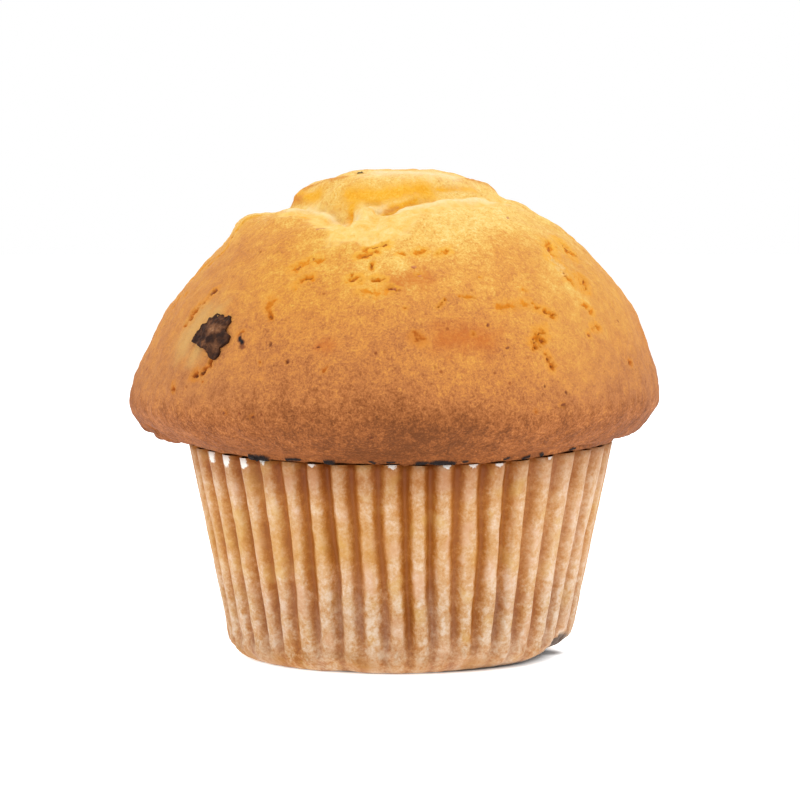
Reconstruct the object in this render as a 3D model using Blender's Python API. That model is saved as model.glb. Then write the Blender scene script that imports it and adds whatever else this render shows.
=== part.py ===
"""A queen cake: a domed sponge cake with chocolate pieces, baked in a pleated paper case.

Metres, +Z up. The origin is on the floor, under the middle of the cake's overall width and
depth, and the side that faces -Y is the front.
The cake is one solid: a fluted foot that fills the case, a lip that overhangs it, and a dome
whose crown has split open. The case is a folded sheet of paper, and each piece of chocolate
sits in a pocket of the crust.
"""

import math
import random

import bmesh
import bpy
from mathutils import Matrix, Vector, noise

# Paper case: 50 mm across its foot, as a standard baking case is
CASE_FOOT_RADIUS = 0.0250
CASE_RIM_RADIUS = 0.0313
CASE_HEIGHT = 0.0305
CASE_CORNER_RADIUS = 0.0034
PAPER_THICKNESS = 0.0002
PLEATS = 48
PLEAT_DEPTH = 0.0013
PLEAT_TURN = math.radians(-89.0)  # bearing of the valley nearest the front
PLEAT_UNEVENNESS = 0.10  # of a pleat's width
FOOT_PLEAT_SHARE = 0.25  # of the full depth, where the pleats run out at the foot
DENT_BEARING = math.radians(-18.0)
DENT_WIDTH = math.radians(7.0)
DENT_LIFT = 0.0011

# Cake
CLEARANCE = 0.00035
LIP_RADIUS = 0.0396
LIP_LEAN = 0.0010  # how much further the lip reaches on its -X side
LIP_HEIGHT = 0.0372
SEAM_RADIUS = 0.0308  # where the lip's underside starts, just over the case's rim
UNDERSIDE_HEIGHT = 0.0303  # that the underside would reach at UNDERSIDE_RADIUS
UNDERSIDE_RADIUS = 0.0260
UNDERSIDE_POWER = 1.65  # 2 would be an ellipse, 1 a cone
DRIP_BEARING = math.radians(184.0)
DRIP_DROP = 0.0005
DRIP_WIDTH = 0.0040
FRONT_DROOP = 0.0006  # of the lip's underside, across the front

# Dome: (height it would reach, power of its curve) on its right, its left and its crown
DOME_RIGHT = (0.0709, 1.94)
DOME_LEFT = (0.0751, 1.53)
DOME_CROWN = (0.0715, 1.85)
CROWN_EDGE = (0.0185, 0.0250)

# Split crown: a lobe pushed up through the crust, with torn crumb in front of it
LOBE_RISE = 0.0012
SPLIT_CENTRE = Vector((-0.0010, 0.0010, 0.0))
SPLIT_RADIUS = 0.0157
SPLIT_DEPTH = 0.0026
SPLIT_FAINT_DEPTH = 0.0003
SPLIT_WALL = 0.0022
TORN_WIDTH = 0.0026
TORN_FRONT_WIDTH = 0.0070
SHOULDER_RADIUS = 0.0222
SHOULDER_RISE = 0.0013
FISSURE_BEARING = math.radians(-96.0)
FISSURE_DEPTH = 0.0008

# Chocolate: name, bearing, share of the way out to the lip, turn on the crust, radius, depth
CHUNKS = (
    ("chocolate_chunk_left", -136.0, 0.904, 0.0, 0.0040, 0.0032),
    ("chocolate_chunk_crown", 104.0, 0.300, 60.0, 0.0025, 0.0022),
    ("chocolate_chunk_back", 66.0, 0.860, 100.0, 0.0038, 0.0030),
    ("chocolate_chunk_right", 18.0, 0.955, 10.0, 0.0031, 0.0026),
)
CHUNK_RISE = 0.16  # of its depth, how far a chunk stands out of the crust
# Outline of the chunk by the front: (angle, share of its radius)
KITE = (
    (58.0, 1.18),
    (34.0, 1.20),
    (-19.0, 0.77),
    (-69.0, 0.83),
    (-93.0, 0.92),
    (-158.0, 0.72),
    (-175.0, 0.92),
    (99.0, 0.61),
)
FLECK_BEARINGS = (-128, -117, -111, -97, -84, -80, -74, -62, -40, 8, 63, 97, 122, 160)

# Mesh density
CAKE_SEGMENTS = 96
DOME_RINGS = 10
CROWN_RINGS = 18
CROWN_RADIUS = 0.0255
LIP_RINGS = 5


def material(name, colour, roughness):
    made = bpy.data.materials.new(name)
    made.use_nodes = True
    shader = made.node_tree.nodes["Principled BSDF"]
    shader.inputs["Base Color"].default_value = (*colour, 1.0)
    shader.inputs["Roughness"].default_value = roughness
    shader.inputs["Metallic"].default_value = 0.0
    return made


def add_object(name, bm, finish, sharp_angle):
    """Turns the bmesh into a named object, shaded smooth except over sharp edges."""
    bmesh.ops.recalc_face_normals(bm, faces=bm.faces)
    mesh = bpy.data.meshes.new(name)
    bm.to_mesh(mesh)
    bm.free()
    mesh.shade_smooth()
    mesh.set_sharp_from_angle(angle=math.radians(sharp_angle))
    mesh.materials.append(finish)
    made = bpy.data.objects.new(name, mesh)
    bpy.context.scene.collection.objects.link(made)
    return made


def polar(radius, bearing, height):
    return Vector((radius * math.cos(bearing), radius * math.sin(bearing), height))


def turn_between(bearing, centre):
    """The signed angle from centre to bearing, within half a turn."""
    return (bearing - centre + math.pi) % math.tau - math.pi


def swell(distance, width):
    """1 at no distance, falling smoothly to nothing past about twice the width."""
    return math.exp(-((distance / width) ** 2))


def window(bearing, centre, half_width):
    """1 at the centre bearing, falling to 0 half_width to either side."""
    off = abs(turn_between(bearing, centre)) / half_width
    return 0.5 + 0.5 * math.cos(math.pi * off) if off < 1 else 0.0


def smooth_step(low, high, value):
    share = min(1.0, max(0.0, (value - low) / (high - low)))
    return share * share * (3 - 2 * share)


def skin(bm, rings, closed_foot=True, closed_top=True):
    """Joins rings of points with faces. A ring may have half the points of the one before."""
    loops = [[bm.verts.new(point) for point in ring] for ring in rings]
    for lower, upper in zip(loops, loops[1:]):
        ratio = len(lower) // len(upper)
        for i in range(len(upper)):
            j = (i + 1) % len(upper)
            foot = [lower[(i * ratio + k) % len(lower)] for k in range(ratio + 1)]
            if ratio == 1:
                bm.faces.new((foot[0], foot[1], upper[j], upper[i]))
            else:
                bm.faces.new((foot[0], foot[1], upper[i]))
                bm.faces.new((foot[1], upper[j], upper[i]))
                bm.faces.new((foot[1], foot[2], upper[j]))
    for loop, wanted in ((loops[0], closed_foot), (loops[-1], closed_top)):
        if wanted:
            middle = sum((v.co for v in loop), Vector()) / len(loop)
            pole = bm.verts.new(Vector((0.0, 0.0, middle.z)))
            for a, b in zip(loop, loop[1:] + loop[:1]):
                bm.faces.new((a, b, pole))


# ---- paper case


def pleat_points(depth):
    """(bearing, inset) of the points round one fluted ring: a valley, then a broad ridge."""
    ridge = ((0.0, 1.0), (0.25, 0.17), (0.5, 0.0), (0.75, 0.17))
    for pleat in range(PLEATS):
        drift = PLEAT_UNEVENNESS * math.sin(2.4 * pleat)
        depth_here = depth * (1.0 + 0.16 * math.sin(1.7 * pleat + 1.0))
        next_drift = PLEAT_UNEVENNESS * math.sin(2.4 * ((pleat + 1) % PLEATS))
        for place, inset in ridge:
            share = pleat + place + drift + (next_drift - drift) * place
            yield PLEAT_TURN + math.tau * share / PLEATS, inset * depth_here


def wall_profile(arc_steps, wall_heights):
    """(radius, height, pleat share) up the outside of the case, from the edge of its foot."""
    slope = math.atan2(CASE_RIM_RADIUS - CASE_FOOT_RADIUS, CASE_HEIGHT)
    corner = CASE_CORNER_RADIUS
    tangent_height = corner * (1 - math.sin(slope))
    tangent_radius = CASE_FOOT_RADIUS + tangent_height * math.tan(slope)
    centre_radius = tangent_radius - corner * math.cos(slope)
    for step in range(arc_steps + 1):
        share = step / arc_steps
        angle = -math.pi / 2 + share * (math.pi / 2 - slope)
        pleat_share = FOOT_PLEAT_SHARE + (1 - FOOT_PLEAT_SHARE) * share
        yield (
            centre_radius + corner * math.cos(angle),
            corner * (1 + math.sin(angle)),
            pleat_share if step else 0.0,
        )
    for height in wall_heights:
        yield CASE_FOOT_RADIUS + height * math.tan(slope), height, 1.0


def dent_lift(bearing, height):
    """How far the foot's edge is pushed up where the case is dented."""
    across = turn_between(bearing, DENT_BEARING) / DENT_WIDTH
    return DENT_LIFT * swell(across, 1.0) * (1 - smooth_step(0.0, 0.005, height))


def fluted_ring(radius, height, depth):
    return [
        polar(radius - inset, bearing, height + dent_lift(bearing, height))
        for bearing, inset in pleat_points(depth)
    ]


def paper_case(finish):
    rings = [
        fluted_ring(radius, height, PLEAT_DEPTH * share)
        for radius, height, share in wall_profile(3, (0.5 * CASE_HEIGHT, CASE_HEIGHT))
    ]
    flat = [Vector((0.86 * p.x, 0.86 * p.y, 0.0)) for p in rings[0]]
    bm = bmesh.new()
    skin(bm, [flat, *rings], closed_top=False)
    case = add_object("paper_case", bm, finish, 60)
    paper = case.modifiers.new("paper", "SOLIDIFY")
    paper.thickness = PAPER_THICKNESS
    paper.offset = -1.0
    paper.use_even_offset = True
    return case


# ---- cake


def foot_rings():
    """The part of the cake that fills the case, a clearance inside the paper."""
    inset = PAPER_THICKNESS + CLEARANCE
    for radius, height, share in wall_profile(2, (CASE_HEIGHT + CLEARANCE,)):
        lift = inset * (1 - height / CASE_HEIGHT)
        # The flutes are shallower than the paper's, which keeps their flanks clear of it
        depth = 0.78 * PLEAT_DEPTH * share
        ring = fluted_ring(radius - inset - 0.22 * PLEAT_DEPTH * share, height, depth)
        yield [point + Vector((0, 0, lift)) for point in ring]


def left_share(bearing):
    """1 on the -X side and 0 on the +X side."""
    return 0.5 - 0.5 * math.cos(bearing)


def lip_radius(bearing):
    lean = LIP_LEAN * math.cos(turn_between(bearing, math.pi))
    waver = 0.00015 * math.sin(3 * bearing + 0.7) + 0.00012 * math.sin(7 * bearing)
    return LIP_RADIUS + lean + waver


def underside_point(bearing, share):
    """From the seam over the case's rim, share 0, round to the widest part of the lip, 1."""
    reach = lip_radius(bearing) - UNDERSIDE_RADIUS
    start = ((SEAM_RADIUS - UNDERSIDE_RADIUS) / reach) ** (UNDERSIDE_POWER / 2)
    start = math.asin(start)
    swing = start + share * (math.pi / 2 - start)
    across = math.sin(swing) ** (2 / UNDERSIDE_POWER)
    down = abs(math.cos(swing)) ** (2 / UNDERSIDE_POWER)
    radius = UNDERSIDE_RADIUS + reach * across
    height = LIP_HEIGHT - (LIP_HEIGHT - UNDERSIDE_HEIGHT) * down
    off = turn_between(bearing, DRIP_BEARING) * radius
    drop = DRIP_DROP * swell(off, DRIP_WIDTH)
    drop += FRONT_DROOP * window(bearing, -math.pi / 2, math.radians(75))
    height -= drop * math.sin(math.pi * min(1.0, 0.12 + share))
    return polar(radius, bearing, height)


def dome_height(radius, bearing):
    """The height of the whole, uncracked crust."""
    left = left_share(bearing)
    top, power = (
        right + (left_side - right) * left
        for right, left_side in zip(DOME_RIGHT, DOME_LEFT)
    )
    heights = []
    for top, power in ((top, power), DOME_CROWN):
        share = min(1.0, radius / lip_radius(bearing)) ** power
        heights.append(LIP_HEIGHT + (top - LIP_HEIGHT) * (1 - share) ** (1 / power))
    flank, crown = heights
    return crown + (flank - crown) * smooth_step(*CROWN_EDGE, radius)


def split_relief(x, y):
    """What the split takes off the dome, or adds to it, over a point of the crown."""
    off = Vector((x, y, 0.0)) - SPLIT_CENTRE
    bearing = math.atan2(off.y, off.x)
    edge = SPLIT_RADIUS + 0.0008 * math.sin(3 * bearing + 0.6)
    edge += 0.0005 * math.sin(8 * bearing)
    out = off.length - edge
    depth = SPLIT_FAINT_DEPTH
    depth += SPLIT_DEPTH * window(bearing, math.radians(-118), math.radians(118))
    torn = TORN_WIDTH
    torn += TORN_FRONT_WIDTH * window(bearing, math.radians(-112), math.radians(52))
    if out < 0:
        sink = depth * smooth_step(-SPLIT_WALL, 0.0, out)
    else:
        sink = depth * (1 - smooth_step(0.0, torn, out))
    rise = LOBE_RISE * (1 - smooth_step(-SPLIT_WALL, 0.0, out))
    rise *= 0.5 + 0.5 * smooth_step(0.0, 0.010, off.length)
    shoulder = SHOULDER_RISE * swell(off.length - SHOULDER_RADIUS, 0.0022)
    rise += shoulder * window(bearing, math.radians(188), math.radians(56))
    fissure = turn_between(bearing, FISSURE_BEARING) * off.length
    along = smooth_step(0.017, 0.022, off.length) - smooth_step(0.027, 0.032, off.length)
    sink += FISSURE_DEPTH * along * swell(fissure, 0.0011)
    return rise - sink


def unevenness(point):
    """Gentle lumps all over the crust, and finer ones on the torn crumb."""
    lumps = 0.00045 * noise.noise(point / 0.013)
    torn = smooth_step(0.058, 0.062, point.z)
    return lumps + 0.0006 * torn * noise.noise(point / 0.0036)


def dome_point(share, bearing):
    """The crust's surface at that bearing, share of the way out from the axis to the lip."""
    radius = share * lip_radius(bearing)
    point = polar(radius, bearing, dome_height(radius, bearing))
    point.z += split_relief(point.x, point.y)
    outward = Vector((point.x, point.y, point.z - LIP_HEIGHT)).normalized()
    return point + outward * unevenness(point)


def dome_rings():
    """Rings from the widest part of the lip to the crown, closest where the split is."""
    crown = CROWN_RADIUS / LIP_RADIUS
    shares = [
        crown + (1 - crown) * math.sin(math.pi / 2 * (1 - step / DOME_RINGS))
        for step in range(1, DOME_RINGS + 1)
    ]
    shares += [crown * (1 - step / CROWN_RINGS) for step in range(1, CROWN_RINGS)]
    for share in shares:
        halvings = (share < 0.32) + (share < 0.16)
        segments = CAKE_SEGMENTS // 2**halvings
        yield [
            dome_point(share, PLEAT_TURN + math.tau * i / segments)
            for i in range(segments)
        ]


def cake(finish):
    rings = list(foot_rings())
    for step in range(LIP_RINGS + 1):
        rings.append(
            [
                underside_point(
                    PLEAT_TURN + math.tau * i / CAKE_SEGMENTS, step / LIP_RINGS
                )
                for i in range(CAKE_SEGMENTS)
            ]
        )
    rings += dome_rings()
    bm = bmesh.new()
    skin(bm, rings)
    return add_object("cake", bm, finish, 60)


# ---- chocolate


def chunk_outline(name, radius):
    """The (angle, radius) corners of a piece, uneven as broken chocolate is."""
    if name == "chocolate_chunk_left":
        return [(math.radians(angle), share * radius) for angle, share in KITE]
    draw = random.Random(name)
    return [
        (math.tau * (k + draw.uniform(-0.3, 0.3)) / 6, radius * draw.uniform(0.8, 1.1))
        for k in range(6)
    ]


def chunk_mesh(bm, outline, depth, rise, spare=0.0):
    """A lump with that outline at the crust, narrower below it and nearly flat on top."""
    levels = ((-depth - spare, 0.66), (-0.45 * depth, 0.95), (0.0, 1.0), (rise + spare, 0.72))
    for level, share in levels:
        for count, (angle, radius) in enumerate(outline):
            reach = share * radius + spare
            height = level * (1.0 + 0.25 * math.sin(5.0 * count))
            bm.verts.new((reach * math.cos(angle), reach * math.sin(angle), height))
    hull = bmesh.ops.convex_hull(bm, input=bm.verts)
    spent = [v for v in hull["geom_interior"] if isinstance(v, bmesh.types.BMVert)]
    bmesh.ops.delete(bm, geom=spent, context="VERTS")
    bmesh.ops.dissolve_limit(
        bm, angle_limit=math.radians(2), verts=bm.verts, edges=bm.edges
    )
    bmesh.ops.triangulate(bm, faces=bm.faces)


def fleck_mesh(bm, size, seed):
    """A speck: the hull of a few points scattered on an ellipsoid of that size."""
    draw = random.Random(seed)
    for _ in range(10):
        spot = Vector([draw.gauss(0, 1) for _ in range(3)]).normalized()
        bm.verts.new([0.5 * span * part for span, part in zip(size, spot)])
    hull = bmesh.ops.convex_hull(bm, input=bm.verts)
    bmesh.ops.delete(bm, geom=hull["geom_interior"], context="VERTS")


def crust_frame(bearing, share, sink, turn):
    """A matrix on the crust, its Z straight out of the dome and its Y up the slope."""
    place = dome_point(share, bearing)
    up = dome_point(share - 0.03, bearing) - dome_point(share + 0.03, bearing)
    along = dome_point(share, bearing + 0.04) - dome_point(share, bearing - 0.04)
    normal = along.cross(up).normalized()
    stand = Matrix((up.cross(normal).normalized(), up.normalized(), normal)).transposed()
    spot = Matrix.Translation(place - normal * sink)
    return spot @ stand.to_4x4() @ Matrix.Rotation(turn, 4, "Z")


def chocolate_piece(name, frame, radius, depth, finish):
    """One piece of chocolate, and the slightly larger cutter of the pocket that it sits in."""
    pieces = []
    for spare, suffix in ((0.0, ""), (CLEARANCE, "_pocket")):
        bm = bmesh.new()
        outline = chunk_outline(name, radius)
        chunk_mesh(bm, outline, depth, CHUNK_RISE * depth, spare)
        pieces.append(add_object(name + suffix, bm, finish, 25))
        pieces[-1].matrix_world = frame
    pieces[1].hide_render = True
    pieces[1].display_type = "WIRE"
    return pieces


def cut_pocket(body, cutter):
    cut = body.modifiers.new(cutter.name, "BOOLEAN")
    cut.operation = "DIFFERENCE"
    cut.object = cutter
    cut.solver = "EXACT"


def underside_frame(bearing, share, sink):
    """The same on the underside of the lip, its Z straight out of it."""
    place = underside_point(bearing, share)
    out = underside_point(bearing, share + 0.05) - underside_point(bearing, share - 0.05)
    along = polar(1.0, bearing + math.pi / 2, 0.0)
    normal = out.cross(along).normalized()
    if normal.z > 0:
        normal = -normal
    stand = Matrix((along, normal.cross(along), normal)).transposed()
    return Matrix.Translation(place - normal * sink) @ stand.to_4x4()


def fuse_flecks(body, finish):
    """Joins the small dark flecks to the crust: two beside the chunk, the rest on the seam."""
    flecks = bpy.data.collections.new("flecks")
    bpy.context.scene.collection.children.link(flecks)
    spots = [
        (crust_frame(math.radians(-126.5), 0.919, 0.0002, 0.3), (0.0009, 0.0015, 0.0012)),
        (crust_frame(math.radians(70.0), 0.62, 0.0002, 1.1), (0.0012, 0.0016, 0.0012)),
    ]
    draw = random.Random(6)
    for bearing in FLECK_BEARINGS:
        frame = underside_frame(math.radians(bearing), 0.26, 0.0002)
        wide = draw.uniform(0.0013, 0.0034)
        spots.append((frame, (wide, draw.uniform(0.0009, 0.0013), 0.0013)))
    for count, (frame, size) in enumerate(spots):
        bm = bmesh.new()
        fleck_mesh(bm, size, 40 + count)
        fleck = add_object(f"fleck_{count}", bm, finish, 25)
        fleck.matrix_world = frame
        bpy.context.scene.collection.objects.unlink(fleck)
        flecks.objects.link(fleck)
    join = body.modifiers.new("flecks", "BOOLEAN")
    join.operation = "UNION"
    join.operand_type = "COLLECTION"
    join.collection = flecks
    join.solver = "EXACT"
    bpy.context.view_layer.objects.active = body
    bpy.ops.object.modifier_apply(modifier=join.name)
    for fleck in list(flecks.objects):
        bpy.data.objects.remove(fleck)
    bpy.data.collections.remove(flecks)


def centre_footprint(body):
    """Moves every object sideways, so that the cake's bounding box is centred on the axis."""
    bpy.context.view_layer.update()
    corners = [Vector(corner) for corner in body.bound_box]
    for axis in (0, 1):
        places = [corner[axis] for corner in corners]
        middle = (min(places) + max(places)) / 2
        for piece in bpy.context.scene.objects:
            piece.location[axis] -= middle


def main():
    for old in list(bpy.data.objects):
        bpy.data.objects.remove(old)
    sponge = material("baked_sponge", (0.68, 0.28, 0.08), 0.75)
    paper = material("baking_paper", (0.58, 0.31, 0.14), 0.6)
    chocolate = material("dark_chocolate", (0.06, 0.026, 0.015), 0.4)

    body = cake(sponge)
    fuse_flecks(body, sponge)
    paper_case(paper)
    for name, bearing, share, turn, radius, depth in CHUNKS:
        frame = crust_frame(math.radians(bearing), share, 0.0, math.radians(turn))
        _, pocket = chocolate_piece(name, frame, radius, depth, chocolate)
        cut_pocket(body, pocket)
    centre_footprint(body)


main()
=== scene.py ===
import math
import random

import bpy
import numpy as np
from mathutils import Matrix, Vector, noise
from mathutils.bvhtree import BVHTree


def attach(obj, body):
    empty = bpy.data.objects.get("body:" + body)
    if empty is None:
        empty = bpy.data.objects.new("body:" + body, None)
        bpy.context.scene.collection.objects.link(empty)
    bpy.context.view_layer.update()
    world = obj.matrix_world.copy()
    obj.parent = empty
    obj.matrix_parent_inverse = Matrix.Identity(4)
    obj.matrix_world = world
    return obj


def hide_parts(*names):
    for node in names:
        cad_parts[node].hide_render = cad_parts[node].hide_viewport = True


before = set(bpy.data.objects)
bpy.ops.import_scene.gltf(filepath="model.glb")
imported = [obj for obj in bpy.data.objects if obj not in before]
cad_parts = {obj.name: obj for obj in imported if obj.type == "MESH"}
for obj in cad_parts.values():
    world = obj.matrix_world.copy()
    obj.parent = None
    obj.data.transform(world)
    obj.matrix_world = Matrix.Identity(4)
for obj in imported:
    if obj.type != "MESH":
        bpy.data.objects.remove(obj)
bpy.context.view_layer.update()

axis = Vector((0.0009, 0.00023, 0.0))  # the line up the middle of the paper case
middle = axis + Vector((0.0, 0.0, 0.0372))  # of the cake, level with its widest part


# bench work shared by every piece


def deselectAll():
    if bpy.context.object and bpy.context.object.mode != "OBJECT":
        bpy.ops.object.mode_set(mode="OBJECT")
    bpy.ops.object.select_all(action="DESELECT")


def pickUp(piece):
    deselectAll()
    piece.select_set(True)
    bpy.context.view_layer.objects.active = piece


def smoothShade(piece):
    pickUp(piece)
    bpy.ops.object.shade_smooth()


def copyOfNode(node, name):  # a merged copy to work on, so the frame's own mesh is left alone
    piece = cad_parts[node].copy()
    piece.data = piece.data.copy()
    for key in list(piece.keys()):
        del piece[key]
    piece.parent = None
    piece.name = piece.data.name = name
    bpy.context.scene.collection.objects.link(piece)
    piece.data.materials.clear()
    pickUp(piece)
    bpy.ops.object.mode_set(mode="EDIT")
    bpy.ops.mesh.select_all(action="SELECT")
    bpy.ops.mesh.remove_doubles(threshold=0.000002)
    bpy.ops.object.mode_set(mode="OBJECT")
    bpy.ops.mesh.customdata_custom_splitnormals_clear()
    return piece


def finishWith(piece, kind, **settings):  # adds a modifier and applies it
    pickUp(piece)
    modifier = piece.modifiers.new(kind.lower(), kind)
    for name, value in settings.items():
        setattr(modifier, name, value)
    bpy.ops.object.modifier_apply(modifier=modifier.name)


def pointsOf(piece):
    points = np.empty(len(piece.data.vertices) * 3)
    piece.data.vertices.foreach_get("co", points)
    return points.reshape(-1, 3)


def normalsOf(piece):
    normals = np.empty(len(piece.data.vertices) * 3)
    piece.data.vertex_normals.foreach_get("vector", normals)
    return normals.reshape(-1, 3)


def movePoints(piece, points):
    piece.data.vertices.foreach_set("co", np.ascontiguousarray(points).ravel())
    piece.data.update()


def keepValues(piece, values):  # for the finish to read: a name and a value at each point
    for name, value in values.items():
        layer = piece.data.attributes.new(name, "FLOAT", "POINT")
        layer.data.foreach_set("value", np.asarray(value, dtype=np.float32))


def valueOf(piece, name):
    values = np.empty(len(piece.data.vertices), dtype=np.float32)
    piece.data.attributes[name].data.foreach_get("value", values)
    return values


def smoothStep(low, high, value):  # 0 at low, 1 at high, eased
    share = np.clip((value - low) / (high - low), 0.0, 1.0)
    return share * share * (3 - 2 * share)


def swell(distance, width):  # 1 at no distance, fading over the width
    return np.exp(-((distance / width) ** 2))


def grain(points, size, seed=0):  # -1 to 1, lumps of about that size
    shift = Vector((seed * 7.1, seed * 3.7, seed * 5.3))
    return np.array([noise.noise(Vector(p) / size + shift) for p in points])


def aroundAxis(points):  # distance from the axis, and bearing from the right, anticlockwise
    off = points[:, :2] - np.array(axis[:2])
    return np.hypot(off[:, 0], off[:, 1]), np.arctan2(off[:, 1], off[:, 0])


def levelAt(table, bearing):  # a table has bearings in degrees and levels in mm
    places, levels = np.array(table).T
    return np.interp(np.degrees(bearing), places, levels) / 1000


# shader work


class Value:  # a socket that does sums
    def __init__(self, paint, socket):
        self.paint = paint
        self.socket = socket

    def sum(self, kind, first, second):
        return self.paint.add("Math", {"operation": kind}, {0: first, 1: second})

    def __add__(self, other):
        return self.sum("ADD", self, other)

    def __radd__(self, other):
        return self.sum("ADD", other, self)

    def __sub__(self, other):
        return self.sum("SUBTRACT", self, other)

    def __rsub__(self, other):
        return self.sum("SUBTRACT", other, self)

    def __mul__(self, other):
        return self.sum("MULTIPLY", self, other)

    def __rmul__(self, other):
        return self.sum("MULTIPLY", other, self)


class Paint:  # one finish and its nodes
    def __init__(self, name):
        self.material = bpy.data.materials.new(name)
        self.material.use_nodes = True
        self.tree = self.material.node_tree
        self.shader = self.tree.nodes["Principled BSDF"]
        self.place = self.add("TexCoord", {}, {}, "Object")
        self.colour = None

    def put(self, socket, value):
        if isinstance(value, Value):
            self.tree.links.new(value.socket, socket)
        elif isinstance(value, tuple) and len(value) == 3 and socket.type == "RGBA":
            socket.default_value = (*value, 1.0)
        else:
            socket.default_value = value

    def add(self, kind, settings, inputs, output=0):
        node = self.tree.nodes.new("ShaderNode" + kind)
        for name, value in settings.items():
            if name != "stops":
                setattr(node, name, value)
                continue
            while len(node.color_ramp.elements) < len(value):
                node.color_ramp.elements.new(0.5)
            for element, (place, colour) in zip(node.color_ramp.elements, value):
                element.position = place
                element.color = (*colour, 1.0)
        for name, value in inputs.items():
            self.put(node.inputs[name], value)
        return Value(self, node.outputs[output])

    def away(self, spot):  # distance from a spot
        inputs = {0: self.place, 1: tuple(spot)}
        return self.add("VectorMath", {"operation": "DISTANCE"}, inputs, "Value")

    def cloud(self, scale, detail=2.0, roughness=0.5):
        inputs = {"Vector": self.place, "Scale": scale, "Detail": detail, "Roughness": roughness}
        return self.add("TexNoise", {}, inputs)

    def cells(self, scale, output):
        return self.add("TexVoronoi", {"feature": "F1"}, {"Vector": self.place, "Scale": scale}, output)

    def read(self, name):
        return self.add("Attribute", {"attribute_name": name}, {}, "Fac")

    def ramp(self, value, *stops):
        return self.add("ValToRGB", {"stops": stops}, {0: value})

    def blend(self, share, first, second, kind="MIX"):
        settings = {"data_type": "RGBA", "blend_type": kind, "clamp_factor": True}
        return self.add("Mix", settings, {0: share, 6: first, 7: second}, 2)

    def between(self, value, low, high):  # 0 at low, 1 at high, eased
        settings = {"interpolation_type": "SMOOTHSTEP"}
        return self.add("MapRange", settings, {0: value, 1: low, 2: high, 3: 0.0, 4: 1.0})

    def coat(self, share, colour, kind="MIX"):  # another colour over what is there
        if isinstance(share, str):
            share = self.read(share)
        self.colour = self.blend(share, self.colour, colour, kind)

    def relief(self, *layers):  # height, strength and distance of each bump, one on another
        normal = None
        for height, strength, distance in layers:
            inputs = {"Height": height, "Strength": strength, "Distance": distance}
            if normal:
                inputs["Normal"] = normal
            normal = self.add("Bump", {}, inputs)
        return normal

    def finish(self, **inputs):
        words = {"colour": "Base Color", "specular": "Specular IOR Level"}
        for name, value in {"colour": self.colour, **inputs}.items():
            self.put(self.shader.inputs[words.get(name, name.title())], value)
        return self.material


def wear(piece, material):
    piece.data.materials.clear()
    piece.data.materials.append(material)


# camera, light and floor

shot = {
    "place": (0.00084, -0.42977, 0.061),
    "tilt": 86.91,
    "lens": 129.92,
    "sky": 0.62,
    "background": 1.0,
    "lampsAim": (0.0, 0.0, 0.04),
    "floorSize": 30.0,
    "floorGlow": 0.95,
    "shadowUnderFoot": (0.0226, -0.0006, 0.0),  # where the foot is lifted off the floor: the floor's glow is turned down here, a painted shadow
}

camera = bpy.data.objects.new("camera", bpy.data.cameras.new("camera"))
bpy.context.scene.collection.objects.link(camera)
camera.location = shot["place"]
camera.rotation_euler = (math.radians(shot["tilt"]), 0.0, 0.0)
camera.data.lens = shot["lens"]
camera.data.sensor_width = 36.0
camera.data.clip_start = 0.01
bpy.context.scene.camera = camera
bpy.context.scene.view_settings.view_transform = "Standard"

# A soft grey sky lights the cake, and the camera sees a white one
world = bpy.data.worlds.new("studio")
world.use_nodes = True
bpy.context.scene.world = world
sky = world.node_tree
backing = sky.nodes["Background"]
seen = sky.nodes.new("ShaderNodeBackground")
for backdrop, strength in ((backing, shot["sky"]), (seen, shot["background"])):
    backdrop.inputs["Color"].default_value = (1.0, 1.0, 1.0, 1.0)
    backdrop.inputs["Strength"].default_value = strength
ray = sky.nodes.new("ShaderNodeLightPath")
either = sky.nodes.new("ShaderNodeMixShader")
sky.links.new(ray.outputs["Is Camera Ray"], either.inputs[0])
sky.links.new(backing.outputs[0], either.inputs[1])
sky.links.new(seen.outputs[0], either.inputs[2])
sky.links.new(either.outputs[0], sky.nodes["World Output"].inputs[0])

# Place, size and power of each lamp
softboxes = {
    "top": ((0.0, 0.08, 0.75), 0.70, 2.6),
    "left": ((-0.62, -0.22, 0.34), 0.50, 1.1),
    "right": ((0.62, -0.18, 0.36), 0.50, 1.2),
    "front": ((0.05, -0.75, 0.40), 0.45, 0.6),
    "back": ((0.0, 0.70, 0.35), 0.50, 0.9),
}
for name, (place, size, power) in softboxes.items():
    lamp = bpy.data.lights.new(name, "AREA")
    lamp.shape = "SQUARE"
    lamp.size = size
    lamp.energy = power
    holder = bpy.data.objects.new(name, lamp)
    holder.location = place
    aim = Vector(shot["lampsAim"]) - Vector(place)
    holder.rotation_euler = aim.to_track_quat("-Z", "Y").to_euler()
    bpy.context.scene.collection.objects.link(holder)

deselectAll()
bpy.ops.mesh.primitive_plane_add(size=shot["floorSize"], location=(0.0, 0.0, 0.0))
floor = bpy.context.object
floor.name = "floor"
floorPaint = Paint("pale floor")
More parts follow.
